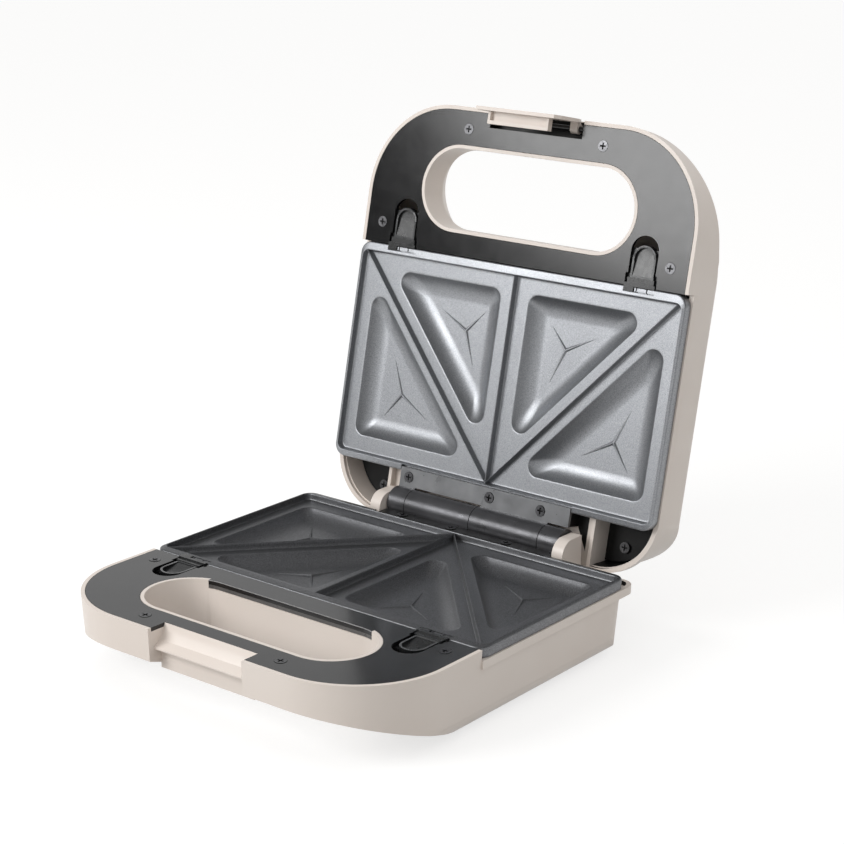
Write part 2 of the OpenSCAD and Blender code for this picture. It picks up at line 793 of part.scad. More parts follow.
module heat_frame(wings) {
    color(soft_black)
        difference() {
            union() {
                translate([0, 0, frame_bottom])
                    linear_extrude(frame_top - frame_bottom)
                        difference() {
                            frame_plan(0);
                            frame_plan(frame_t);
                        }
                intersection() {
                    translate([0, 0, frame_bottom]) linear_extrude(lug_t) frame_plan(0);
                    union() {
                        for (p = lug_points) {
                            post(p[0], p[1], frame_bottom, frame_bottom + lug_t, lug_r);
                            if (abs(p[0]) > frame_half / 2)
                                box(min(p[0], sign(p[0]) * frame_half),
                                    max(p[0], sign(p[0]) * frame_half),
                                    p[1] - lug_r, p[1] + lug_r, frame_bottom,
                                    frame_bottom + lug_t);
                            else
                                box(p[0] - lug_r, p[0] + lug_r, p[1], frame_y1, frame_bottom,
                                    frame_bottom + lug_t);
                        }
                    }
                }
                if (wings)
                    for (s = [-1, 1]) wing(s);
            }
            for (p = lug_points) post(p[0], p[1], frame_bottom - over, frame_top, shank_r + 0.3);
            if (wings)
                for (s = [-1, 1])
                    post(s * wing_screw_x, wing_screw_y, -far, 0, shank_r + 0.3);
        }
}

// Black tray in each rear corner of the lid, between the hinge bay's rib and the shell
module wing(s) {
    inner = bay_half + wall + 0.4;
    outer = frame_half;
    intersection() {
        union() {
            box(min(s * inner, s * outer), max(s * inner, s * outer), frame_y1 - 0.3,
                lid_rear, wing_top - wing_t, wing_top);
            box(min(s * inner, s * outer), max(s * inner, s * outer), frame_y1 - 0.3,
                frame_y1 + 1.2, wing_top - wing_t, frame_bottom + 1);
        }
        shell_form(wall + 1, lid_form);
    }
}

module reflector() {
    color(steel)
        difference() {
            union() {
                translate([0, 0, tray_top - sheet_t]) linear_extrude(sheet_t) frame_plan(0.4);
                translate([0, 0, tray_z - sheet_t])
                    linear_extrude(tray_top - tray_z + sheet_t) sink_plan(sheet_t);
            }
            translate([0, 0, tray_z]) linear_extrude(tray_top - tray_z + over) sink_plan(0);
            for (p = lug_points) post(p[0], p[1], -far, 0, shank_r + 0.3);
            for (s = [-1, 1]) post(s * terminal_x, -loop_front, -far, 0, tube_r + 0.6);
        }
}

module tube(x, y, a, length) {
    translate([x, y, element_z]) rotate([0, 0, a]) rotate([0, 90, 0]) cylinder(h = length, r = tube_r);
}

module bend(x, y, a, r) {
    translate([x, y, element_z])
        rotate([0, 0, a]) rotate_extrude(angle = 90) translate([r, 0]) circle(r = tube_r, $fn = 24);
}

module element() {
    color(steel)
        union() {
            for (s = [-1, 1]) {
                tube(s > 0 ? terminal_x + terminal_r : -loop_x + bend_r, -loop_front, 0,
                     loop_x - bend_r - terminal_x - terminal_r);
                tube(s * loop_x, -loop_front + bend_r, 90, loop_front - loop_rear - 2 * bend_r);
                // turn down to the terminal
                translate([s * (terminal_x + terminal_r), -loop_front, element_z - terminal_r])
                    rotate([90, 0, 0])
                        rotate([0, 0, s > 0 ? 90 : 0])
                            rotate_extrude(angle = 90) translate([terminal_r, 0])
                                circle(r = tube_r, $fn = 24);
                post(s * terminal_x, -loop_front, tray_z - 7, element_z - terminal_r, tube_r);
                post(s * terminal_x, -loop_front, tray_z - 12, tray_z - 6.9, 1.2);
            }
            bend(-loop_x + bend_r, -loop_front + bend_r, 180, bend_r);
            bend(loop_x - bend_r, -loop_front + bend_r, 270, bend_r);
            bend(loop_x - bend_r, -loop_rear - bend_r, 0, bend_r);
            bend(-loop_x + bend_r, -loop_rear - bend_r, 90, bend_r);
            tube(-loop_x + bend_r, -loop_rear, 0, 2 * (loop_x - bend_r));
        }
}

clip_spots = [[0, -1, 0], [-1, 0, 90], [1, 0, 90]];

module element_clips() {
    color(steel)
        for (c = clip_spots)
            translate([c[0] * loop_x, c[1] < 0 ? -loop_rear : -loop_mid, 0])
                rotate([0, 0, c[2]])
                    difference() {
                        union() {
                            box(-4, 4, -tube_r - 1, tube_r + 1, tray_z, element_z + tube_r + 0.7);
                            box(-4, 4, -tube_r - 3.5, tube_r + 3.5, tray_z, tray_z + 0.8);
                        }
                        box(-5, 5, -tube_r, tube_r, tray_z - over, element_z);
                        translate([-5, 0, element_z]) rotate([0, 90, 0])
                            cylinder(h = 10, r = tube_r);
                    }
}

// ---- cooking plate ----
// Corners of the two pockets on the right half, each with its right angle first.
// The diagonal rib runs from the middle of the field's rear to its front corner.
diag_dx = field_half;
diag_dy = field_y1 - field_y0;
diag_len = sqrt(diag_dx * diag_dx + diag_dy * diag_dy);
shift_x = pocket_diagonal * diag_len / diag_dy;
shift_y = pocket_diagonal * diag_len / diag_dx;
rear_pocket = let (x = field_half - pocket_side, y = field_y1 - pocket_end) [
    [x, y],
    [(field_y1 - y) * diag_dx / diag_dy + shift_x, y],
    [x, field_y1 - x * diag_dy / diag_dx + shift_y]
];
front_pocket = let (x = pocket_mid, y = field_y0 + pocket_end) [
    [x, y],
    [(field_y1 - y) * diag_dx / diag_dy - shift_x, y],
    [x, field_y1 - x * diag_dy / diag_dx - shift_y]
];

// Centre of the circle with radius r that touches both sides at corner i
function corner_centre(t, i, r) =
    let (p = t[i], u = t[(i + 1) % 3] - p, v = t[(i + 2) % 3] - p,
         a = u / norm(u), b = v / norm(v), h = acos(a * b) / 2)
    p + (a + b) / norm(a + b) * r / sin(h);

module pocket_cut(t) {
    hull() {
        for (i = [0:2]) {
            rim = corner_centre(t, i, pocket_corner_r);
            foot = corner_centre(t, i, pocket_run + 1.5);
            translate([rim[0], rim[1], -field_drop]) cylinder(h = 0.4, r = pocket_corner_r, $fn = 32);
            translate([foot[0], foot[1], -field_drop - pocket_depth])
                cylinder(h = 0.4, r = 1.5, $fn = 32);
        }
    }
}

// Underside of a pocket: three sloping sides that follow its walls
module pocket_boss(t) {
    top = -field_drop - plate_t + 0.4;
    intersection() {
        pocket_side_form(t, 0, top);
        pocket_side_form(t, 1, top);
        pocket_side_form(t, 2, top);
    }
}

module pocket_side_form(t, i, top) {
    p = t[i];
    q = t[(i + 1) % 3];
    length = norm(q - p);
    translate([p[0], p[1], 0])
        rotate([0, 0, atan2(q[1] - p[1], q[0] - p[0])])
            along_x(-length, 2 * length)
                polygon([[-0.6, top], [2 * length, top], [2 * length, pocket_bottom],
                         [pocket_run - 1.5, pocket_bottom]]);
}

module rib(x0, y0, x1, y1) {
    length = norm([x1 - x0, y1 - y0]);
    translate([x0, y0, -field_drop - 0.2])
        rotate([90, 0, atan2(y1 - y0, x1 - x0) + 90])
            linear_extrude(length)
                polygon([[-rib_w / 2, 0], [-0.4, field_drop + lip_rise],
                         [0.4, field_drop + lip_rise], [rib_w / 2, 0]]);
}

// Three tapered creases that meet on a pocket's floor
module crease_mark(x, y, ends) {
    for (e = ends)
        translate([x, y, -field_drop - pocket_depth - 0.1])
            rotate([0, 0, atan2(e[1], e[0])])
                linear_extrude(0.8) polygon([[-0.6, -0.9], [norm(e), 0], [-0.6, 0.9]]);
}

rear_mark = [[11.5, 13], [-19, 10], [8, -20]];
front_mark = [[-10, -12], [18, -9], [-8, 20]];

module cooking_plate() {
    notch_y = plate_y0 + lip_w - 0.4;
    color(plate_grey)
        difference() {
            union() {
                difference() {
                    translate([0, 0, lip_bottom])
                        linear_extrude(lip_rise - lip_bottom)
                            plan(plate_half, plate_y0, plate_y1, plate_corner_r, plate_corner_r);
                    // dished field inside the rim
                    hull() {
                        translate([0, 0, -field_drop])
                            linear_extrude(0.1) plan(field_half, field_y0, field_y1, 3, 3);
                        translate([0, 0, lip_rise])
                            linear_extrude(over)
                                plan(field_half + 2, field_y0 - 2, field_y1 + 2,
                                     plate_corner_r - 3, plate_corner_r - 3);
                    }
                }
                translate([0, 0, -field_drop - plate_t])
                    linear_extrude(plate_t)
                        plan(field_half, field_y0, field_y1, 4, 4);
                for (s = [0, 1]) mirror([s, 0, 0]) {
                    pocket_boss(rear_pocket);
                    pocket_boss(front_pocket);
                }
                rib(0, field_y0 - 1, 0, field_y1 + 1);
                for (s = [-1, 1]) rib(0, field_y1 + 0.8, s * (field_half + 0.6), field_y0 - 0.6);
            }
            for (s = [0, 1]) mirror([s, 0, 0]) {
                pocket_hole(rear_pocket, rear_mark);
                pocket_hole(front_pocket, front_mark);
            }
            // low part of the rear rim, under the hinge leaf
            box(-barrel_half, barrel_half, crest_y1, plate_y1 + over, lid_leaf_rise - leaf_t - 1.3,
                lip_rise + over);
            // notches that the levers' hooks lie in
            for (s = [-1, 1]) translate([s * lever_x, 0, 0])
                difference() {
                    box(-hook_w / 2 - gap, hook_w / 2 + gap, plate_y0 - over, notch_y,
                        lip_bottom - over, lip_rise + over);
                    for (t = hook_tabs)
                        box(t[0] - hook_w / 2, t[1] - hook_w / 2, plate_y0 + 0.4, notch_y + over,
                            lip_bottom - 2 * over, lip_rise - 0.3);
                }
            // thin groove behind the tabs between the notches' slots
            for (s = [-1, 1]) translate([s * lever_x, 0, 0])
                box(prong_w - hook_w / 2, hook_w / 2 + gap, notch_y - 0.6, notch_y, -1,
                    lip_rise + over);
        }
}

module pocket_hole(t, mark) {
    middle = (t[0] + t[1] + t[2]) / 3;
    difference() {
        pocket_cut(t);
        crease_mark(t[0][0] + (middle[0] - t[0][0]) * 1.05, t[0][1] + (middle[1] - t[0][1]) * 1.05,
                    mark);
    }
}

// ---- release levers ----

module release_lever(side) {
    y_tip = step_y - slot_len + 5.6 + tongue_w / 2;
    y_bar = step_y - 4.6;
    tongue_top = -0.4;
    color(soft_black) translate([side * lever_x, 0, 0]) {
        difference() {
            union() {
                translate([0, 0, slider_bottom + 0.1]) linear_extrude(tongue_top - slider_bottom - 0.1) {
                    translate([0, y_tip]) circle(r = tongue_w / 2);
                    translate([-tongue_w / 2, y_tip]) square([tongue_w, y_bar + 0.1 - y_tip]);
                }
                box(-slot_w / 2 + gap, slot_w / 2 - gap, y_bar, step_y - 0.1, slider_bottom + 0.1, 0.2);
                box(-slider_half, slider_half, slider_y0, slider_y1, slider_bottom, slider_top);
                hook();
            }
            // finger dish
            translate([0, 0, tongue_top - 1.7]) linear_extrude(3) {
                translate([0, y_tip]) circle(r = tongue_w / 2 - 1.2);
                translate([-tongue_w / 2 + 1.2, y_tip]) square([tongue_w - 2.4, y_bar - 1.2 - y_tip]);
            }
        }
    }
}

// Bar in front of the plate's rim, with a prong that holds the rim down
module hook() {
    y1 = plate_y0 + lip_w - 0.7;
    top = lip_rise + 0.2;
    low = -0.9;
    box(-hook_w / 2, hook_w / 2, step_y - 1.6, plate_y0 + 0.1, low, top);
    box(-hook_w / 2, prong_w - hook_w / 2, step_y - 0.2, y1, low, top);
}

module lever_springs() {
    color(steel)
        for (s = [-1, 1])
            translate([s * lever_x, stop_y + 0.05, (slider_top + slider_bottom) / 2 - 0.6])
                rotate([-90, 0, 0])
                    difference() {
                        cylinder(h = 6.8, r = 2);
                        translate([0, 0, -over]) cylinder(h = 12, r = 1.35);
                    }
}

// ---- hinge ----
module knuckle(x0, x1) {
    translate([x0 + knuckle_gap / 2, 0, axis_z])
        rotate([0, 90, 0]) cylinder(h = x1 - x0 - knuckle_gap, r = barrel_r, $fn = 64);
}

// first: 0 for the lid's knuckles, 1 for the base's
module hinge_leaf(first, y0, y1, top, screws) {
    difference() {
        union() {
            box(-barrel_half + 0.5, barrel_half - 0.5, y0, y1, top - leaf_t, top);
            for (i = [first, first + 2]) {
                knuckle(barrel_ends[i], barrel_ends[i + 1]);
                box(barrel_ends[i] + 0.5, barrel_ends[i + 1] - 0.5, y1 - 0.1, -barrel_r * 0.7,
                    top - leaf_t, top);
            }
        }
        translate([-barrel_half - over, 0, axis_z])
            rotate([0, 90, 0]) cylinder(h = 2 * barrel_half + 2 * over, r = pin_r + pin_clear);
        for (x = screws) {
            post(x, (y0 + y1) / 2, top - leaf_t - over, top + over, shank_r + 0.2);
            post(x, (y0 + y1) / 2, top - 1.2, top + over, head_r + 0.15);
        }
    }
}

module hinge_pin_rod() {
    color(steel) base_place()
        translate([-barrel_half + 0.4, 0, axis_z])
            rotate([0, 90, 0]) cylinder(h = 2 * barrel_half - 0.8, r = pin_r);
}

// ---- latch ----
module latch_body() {
    flap_y0 = front_y - 0.6;
    flap_y1 = flap_y0 + latch_t;
    hook_y = front_y + 8.8;
    flap_z = latch_pin_z + 0.6;
    color(cream)
        difference() {
            union() {
                // flap, narrower at its tip
                translate([0, flap_y1, 0])
                    rotate([90, 0, 0])
                        linear_extrude(latch_t)
                            polygon([[-latch_w / 2 + 2, flap_z], [latch_w / 2 - 2, flap_z],
                                     [latch_w / 2, flap_z + 5], [latch_w / 2, latch_reach - 4],
                                     [latch_w / 2 - 2.5, latch_reach],
                                     [-latch_w / 2 + 2.5, latch_reach],
                                     [-latch_w / 2, latch_reach - 4], [-latch_w / 2, flap_z + 5]]);
                // hook with an open hollow behind it
                difference() {
                    box(-latch_hook_half, latch_hook_half, flap_y1 - 0.1, hook_y, latch_hook_z,
                        latch_hook_z + latch_hook_h);
                    box(-latch_hook_half + 1.6, latch_hook_half - 1.6, flap_y1, hook_y - 2.2,
                        latch_hook_z + 1.6, latch_hook_z + latch_hook_h + over);
                }
                for (s = [-1, 1]) {
                    x = s * (latch_lug_x + latch_lug_w / 2);
                    box(x - latch_lug_w / 2, x + latch_lug_w / 2, flap_y1 - 0.1, latch_pin_y,
                        latch_pin_z - 0.6, latch_pin_z + 2 * latch_pin_r);
                    translate([x - latch_lug_w / 2, latch_pin_y, latch_pin_z])
                        rotate([0, 90, 0]) cylinder(h = latch_lug_w, r = 2 * latch_pin_r);
                }
            }
            translate([-latch_w, latch_pin_y, latch_pin_z])
                rotate([0, 90, 0]) cylinder(h = 2 * latch_w, r = latch_pin_r + pin_clear);
        }
}

module latch_pin_rod() {
    color(steel) lid_place()
        translate([-latch_bay_w / 2 - wall, latch_pin_y, latch_pin_z])
            rotate([0, 90, 0]) cylinder(h = latch_bay_w + 2 * wall, r = latch_pin_r);
}

// ---- small parts ----
module feet() {
    color(soft_black) base_place()
        for (p = foot_points) {
            post(p[0], p[1], -split_z, -base_depth, foot_r);
            post(p[0], p[1], -split_z + 0.5, base_floor_z + 0.2, foot_stem_r);
            post(p[0], p[1], base_floor_z, base_floor_z + 1.4, foot_stem_r + 0.8);
        }
}

module gland() {
    color(soft_black) base_place()
        translate([0, block_rear, gland_z]) rotate([-90, 0, 0])
            difference() {
                union() {
                    translate([0, 0, -wall - 4]) cylinder(h = wall + 4.1, r = gland_r);
                    cylinder(h = 2, r = gland_r + 1.6);
                    cylinder(h = gland_out, r = gland_r - 0.6);
                    translate([0, 0, -wall - 3.9]) cylinder(h = 3.9, r = gland_r + 1.2);
                }
                translate([0, 0, -wall - 5]) cylinder(h = gland_out + 7 + wall, r = cord_r);
            }
}

module terminals() {
    color("ivory") base_place()
        difference() {
            translate([terminal_x + 5, terminal_y, base_floor_z])
                cube([terminal_w, terminal_d, terminal_h]);
            for (i = [-1:1])
                translate([terminal_x + 5 + terminal_w / 2 + terminal_pitch * i, terminal_y - over,
                           base_floor_z + terminal_h / 2])
                    rotate([-90, 0, 0]) cylinder(h = terminal_d + 2 * over, r = terminal_h / 4.5);
        }
}

module thermostat_body() {
    color("sienna") base_place() {
        post(0, -loop_mid, tray_z - sheet_t - thermostat_h, tray_z - sheet_t, thermostat_r);
        box(-thermostat_tab, thermostat_tab, -loop_mid - 3, -loop_mid + 3,
            tray_z - sheet_t - 1.2, tray_z - sheet_t);
    }
}

module fuse_body() {
    color("white") lid_place()
        union() {
            translate([-fuse_len / 2, -loop_mid, tray_z - sheet_t - fuse_r - 0.6])
                rotate([0, 90, 0]) cylinder(h = fuse_len, r = fuse_r);
            box(-3, 3, -loop_mid - 2 * fuse_r, -loop_mid + 2 * fuse_r, tray_z - sheet_t - 0.8,
                tray_z - sheet_t);
        }
}

module lamp(s) {
    color("orange") lid_place()
        post(s * lamp_x, lamp_y, lid_floor_z + 0.6, lid_floor_z + 0.6 + lamp_len, lamp_r);
}

module lens(s, tint) {
    color(tint) lid_place() {
        post(s * lamp_x, lamp_y, -lid_depth - 0.8, lid_floor_z + 0.5, lens_r);
        post(s * lamp_x, lamp_y, lid_floor_z, lid_floor_z + 0.6, lens_r + 1);
    }
}

// ---- nodes ----
module base_handle_panel() {
    color(gloss_black) base_place() handle_panel(true, catch_bay_d);
}

module lid_handle_panel() {
    color(gloss_black) lid_place() handle_panel(false, latch_bay_d);
}

module base_hinge_leaf() {
    color(soft_black) base_place()
        hinge_leaf(1, base_leaf_y0, base_leaf_y1, -base_leaf_drop, base_leaf_screws);
}

module lid_hinge_leaf() {
    color("gray") lid_place()
        hinge_leaf(0, lid_leaf_y0, lid_leaf_y1, lid_leaf_rise, lid_leaf_screws);
}

base_shell();
hinge_housing();
base_handle_panel();
base_place() panel_screw_set();  // base_panel_screws
base_place() heat_frame(false);  // base_heat_frame
base_place() frame_screw_set(false);  // base_frame_screws
base_place() reflector();  // base_reflector
base_place() element();  // base_element
base_place() element_clips();  // base_element_clips
base_place() cooking_plate();  // base_cooking_plate
base_place() release_lever(-1);  // base_release_lever_left
base_place() release_lever(1);  // base_release_lever_right
base_place() lever_springs();  // base_lever_springs
base_hinge_leaf();
base_place() leaf_screw_set(base_leaf_screws, (base_leaf_y0 + base_leaf_y1) / 2, -base_leaf_drop);  // base_hinge_screws
hinge_pin_rod();  // hinge_pin
feet();  // rubber_feet
gland();  // cord_gland
terminals();  // terminal_block
thermostat_body();  // thermostat
lid_shell();
lid_handle_panel();
lid_place() panel_screw_set();  // lid_panel_screws
lid_place() heat_frame(true);  // lid_heat_frame
lid_place() frame_screw_set(true);  // lid_frame_screws
lid_place() reflector();  // lid_reflector
lid_place() element();  // lid_element
lid_place() element_clips();  // lid_element_clips
lid_place() cooking_plate();  // lid_cooking_plate
lid_place() release_lever(-1);  // lid_release_lever_left
lid_place() release_lever(1);  // lid_release_lever_right
lid_place() lever_springs();  // lid_lever_springs
lid_hinge_leaf();
lid_place() leaf_screw_set(lid_leaf_screws, (lid_leaf_y0 + lid_leaf_y1) / 2, lid_leaf_rise);  // lid_hinge_screws
lid_place() latch_body();  // latch
latch_pin_rod();  // latch_pin
fuse_body();  // thermal_fuse
lamp(-1);  // power_lamp
lamp(1);  // ready_lamp
lens(-1, "red");  // power_lamp_lens
lens(1, "green");  // ready_lamp_lens
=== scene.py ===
import bpy, bmesh, json, math
import numpy as np
from mathutils import Vector, Matrix
from mathutils.geometry import delaunay_2d_cdt

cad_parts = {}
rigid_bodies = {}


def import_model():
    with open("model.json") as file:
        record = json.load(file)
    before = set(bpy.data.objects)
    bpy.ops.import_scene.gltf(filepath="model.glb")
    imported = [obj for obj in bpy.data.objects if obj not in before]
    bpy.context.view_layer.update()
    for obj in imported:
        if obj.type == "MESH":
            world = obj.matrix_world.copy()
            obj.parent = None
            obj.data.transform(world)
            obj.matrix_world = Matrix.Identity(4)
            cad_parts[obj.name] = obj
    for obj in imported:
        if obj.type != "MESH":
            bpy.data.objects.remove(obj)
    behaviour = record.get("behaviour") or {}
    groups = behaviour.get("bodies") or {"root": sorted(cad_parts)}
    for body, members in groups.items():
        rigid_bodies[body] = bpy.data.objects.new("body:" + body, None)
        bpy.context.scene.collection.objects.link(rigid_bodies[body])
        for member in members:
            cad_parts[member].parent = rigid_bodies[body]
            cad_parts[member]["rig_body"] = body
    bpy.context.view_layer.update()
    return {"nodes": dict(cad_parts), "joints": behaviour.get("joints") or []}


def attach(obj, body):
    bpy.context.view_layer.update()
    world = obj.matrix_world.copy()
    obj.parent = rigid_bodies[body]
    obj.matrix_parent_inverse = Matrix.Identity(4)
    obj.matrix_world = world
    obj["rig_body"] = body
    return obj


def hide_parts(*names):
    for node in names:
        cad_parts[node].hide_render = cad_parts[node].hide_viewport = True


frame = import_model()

MM = 0.001
NODES = frame["nodes"]
JOINT = {j["name"]: j for j in frame["joints"]}

# ---- where the two halves lie (millimetres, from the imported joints) ----
HY, HZ = JOINT["lid_hinge"]["pos_m"][1] / MM, JOINT["lid_hinge"]["pos_m"][2] / MM
OPEN = math.radians(101.55)
AXIS_Z = 1.35
SPLIT_Z = HZ - AXIS_Z


def base_pt(p):
    return Vector((p[0], p[1] + HY, p[2] + SPLIT_Z)) * MM


def lid_pt(p):
    z = AXIS_Z - p[2]
    c, s = math.cos(OPEN), math.sin(OPEN)
    return Vector((p[0], HY + p[1] * c + z * s, HZ - p[1] * s + z * c)) * MM


def on_lid(node):
    return node.startswith(("lid_", "latch"))


def placer(node):
    """What puts a point of the node's half frame, in millimetres, into the world."""
    return lid_pt if on_lid(node) else base_pt


def half_frame(node, p):
    """A world point in the node's half frame, in mm: panel plane z = 0, hinge axis y = 0."""
    x, y, z = p[0] / MM, p[1] / MM - HY, p[2] / MM
    if not on_lid(node):
        return x, y, z - SPLIT_Z
    z -= HZ
    c, s = math.cos(OPEN), math.sin(OPEN)
    return x, y * c - z * s, AXIS_Z - (y * s + z * c)


# ---- camera at the photograph's viewpoint ----
# solved in millimetres, with the hinge axis at SOLVED_Y and the base's panel plane at SOLVED_Z
SOLVED_Y, SOLVED_Z = 77.97, 38.87
EYE, AIM, ROLL = (677.14, -848.13, 440.41), (5.177, 16.256, 116.314), 0.787
FOCAL_PX, PHOTO_PX, SENSOR = 2063.2, 844, 36


def make_camera():
    dy, dz = HY - SOLVED_Y, SPLIT_Z - SOLVED_Z
    eye = Vector((EYE[0], EYE[1] + dy, EYE[2] + dz))
    aim = Vector((AIM[0], AIM[1] + dy, AIM[2] + dz))
    fwd = (aim - eye).normalized()
    right = fwd.cross(Vector((0, 0, 1))).normalized()
    up = right.cross(fwd)
    a = math.radians(ROLL)
    r2 = right * math.cos(a) + up * math.sin(a)
    u2 = up * math.cos(a) - right * math.sin(a)
    data = bpy.data.cameras.new("photo_camera")
    data.sensor_width = SENSOR
    data.lens = FOCAL_PX / PHOTO_PX * SENSOR
    data.clip_start, data.clip_end = 0.05, 20
    cam = bpy.data.objects.new("photo_camera", data)
    m = Matrix((r2, u2, -fwd)).transposed().to_4x4()
    m.translation = eye * MM
    cam.matrix_world = m
    bpy.context.scene.collection.objects.link(cam)
    bpy.context.scene.camera = cam
    bpy.context.scene.view_settings.view_transform = "Standard"


# ---- materials ----
class Mat:
    """Small helper round one Principled material."""

    def __init__(self, name, color, rough=0.5, metal=0.0, **sockets):
        self.m = bpy.data.materials.new(name)
        self.m.use_nodes = True
        self.t = self.m.node_tree
        self.b = self.t.nodes["Principled BSDF"]
        self.b.inputs["Base Color"].default_value = (*color, 1)
        self.b.inputs["Roughness"].default_value = rough
        self.b.inputs["Metallic"].default_value = metal
        for k, v in sockets.items():
            self.b.inputs[k.replace("_", " ")].default_value = v
        self.co = self.t.nodes.new("ShaderNodeTexCoord").outputs["Object"]
        self.normal = None

    def node(self, kind):
        return self.t.nodes.new("ShaderNode" + kind)

    def link(self, a, b):
        self.t.links.new(a, b)

    def noise(self, scale, detail=3.0, rough=0.5, stretch=None):
        n = self.node("TexNoise")
        n.inputs["Scale"].default_value = scale
        n.inputs["Detail"].default_value = detail
        n.inputs["Roughness"].default_value = rough
        if stretch:
            m = self.node("Mapping")
            m.inputs["Scale"].default_value = stretch
            self.link(self.co, m.inputs["Vector"])
            self.link(m.outputs[0], n.inputs["Vector"])
        else:
            self.link(self.co, n.inputs["Vector"])
        return n.outputs["Fac"]

    def span(self, fac, a, b, lo=0.3, hi=0.7):
        """Numbers from a to b as fac goes from lo to hi."""
        n = self.node("MapRange")
        n.inputs["From Min"].default_value, n.inputs["From Max"].default_value = lo, hi
        n.inputs["To Min"].default_value, n.inputs["To Max"].default_value = a, b
        self.link(fac, n.inputs["Value"])
        return n.outputs[0]

    def tint(self, fac, c1, c2, lo=0.3, hi=0.7):
        """Base colour from c1 to c2 as fac goes from lo to hi."""
        r = self.node("ValToRGB")
        r.color_ramp.elements[0].position, r.color_ramp.elements[1].position = lo, hi
        r.color_ramp.elements[0].color, r.color_ramp.elements[1].color = (*c1, 1), (*c2, 1)
        self.link(fac, r.inputs["Fac"])
        self.link(r.outputs["Color"], self.b.inputs["Base Color"])

    def rough(self, fac, a, b, lo=0.3, hi=0.7):
        self.link(self.span(fac, a, b, lo, hi), self.b.inputs["Roughness"])

    def bump(self, fac, strength, distance):
        n = self.node("Bump")
        n.inputs["Strength"].default_value = strength
        n.inputs["Distance"].default_value = distance
        self.link(fac, n.inputs["Height"])
        if self.normal:
            self.link(self.normal, n.inputs["Normal"])
        self.normal = n.outputs[0]
        self.link(self.normal, self.b.inputs["Normal"])


def srgb(r, g, b):
    """Linear colour of 0 to 255 display values."""
    return tuple(((v / 255) / 12.92 if v <= 10 else (((v / 255) + 0.055) / 1.055) ** 2.4)
                 for v in (r, g, b))


def scaled(c, k, more=0):
    """Display values times k, kept below 256."""
    return [min(255, int(v * k) + more) for v in c]


def cream_plastic():
    m = Mat("cream_plastic", srgb(222, 212, 204), 0.42, Coat_Weight=0.15, Coat_Roughness=0.25)
    m.tint(m.noise(9, 2), srgb(219, 208, 199), srgb(225, 216, 208))
    m.rough(m.noise(70, 4), 0.36, 0.48)
    m.bump(m.noise(2600, 2), 0.10, 0.00006)
    m.bump(m.noise(26, 2), 0.12, 0.0004)
    return m.m


def black_gloss():
    m = Mat("black_gloss_panel", srgb(16, 16, 17), 0.16, IOR=1.50)
    m.tint(m.noise(30, 3), srgb(14, 14, 15), srgb(20, 20, 21))
    m.rough(m.noise(120, 3), 0.15, 0.18)
    m.bump(m.noise(40, 2), 0.015, 0.0003)
    m.bump(m.noise(1800, 2), 0.05, 0.00004)
    return m.m


def soft_black(name="soft_black_plastic", c=(24, 25, 26), rough=0.27):
    m = Mat(name, srgb(*c), rough)
    m.tint(m.noise(60, 3), srgb(*(v - 4 for v in c)), srgb(*(v + 5 for v in c)))
    m.rough(m.noise(200, 4), rough - 0.06, rough + 0.07)
    m.bump(m.noise(3200, 2), 0.16, 0.00005)
    return m.m


def coated_plate(name, dark, light):
    """Grey non-stick coating with fine metallic flakes."""
    m = Mat(name, srgb(*dark), 0.34, 0.9)
    fine = m.noise(2600, 3, 0.7)
    m.tint(fine, srgb(*dark), srgb(*light), 0.36, 0.66)
    m.rough(m.noise(22, 3), 0.39, 0.46)
    m.bump(fine, 0.22, 0.00008)
    m.bump(m.noise(420, 3), 0.08, 0.00012)
    return m.m


def enamel(name, c, rough=0.34, metal=0.0, **sockets):
    m = Mat(name, srgb(*c), rough, metal, **sockets)
    m.tint(m.noise(45, 4), srgb(*scaled(c, 0.9)), srgb(*scaled(c, 1.12, 2)))
    m.rough(m.noise(160, 4), rough - 0.06, rough + 0.08)
    m.bump(m.noise(1500, 3), 0.18, 0.00008)
    return m.m


def metal(name, c, rough=0.3, stretch=(1, 1, 1)):
    m = Mat(name, srgb(*c), rough, 1.0)
    f = m.noise(900, 3, 0.6, stretch)
    m.tint(f, srgb(*scaled(c, 0.88)), srgb(*scaled(c, 1.08)))
    m.rough(m.noise(240, 4), rough - 0.07, rough + 0.10)
    m.bump(f, 0.12, 0.00005)
    return m.m


def clear(name, c):
    m = Mat(name, srgb(*c), 0.12, IOR=1.5, Transmission_Weight=0.55)
    m.tint(m.noise(80, 2), srgb(*scaled(c, 0.93)), srgb(*c))
    m.rough(m.noise(300, 3), 0.08, 0.18)
    return m.m


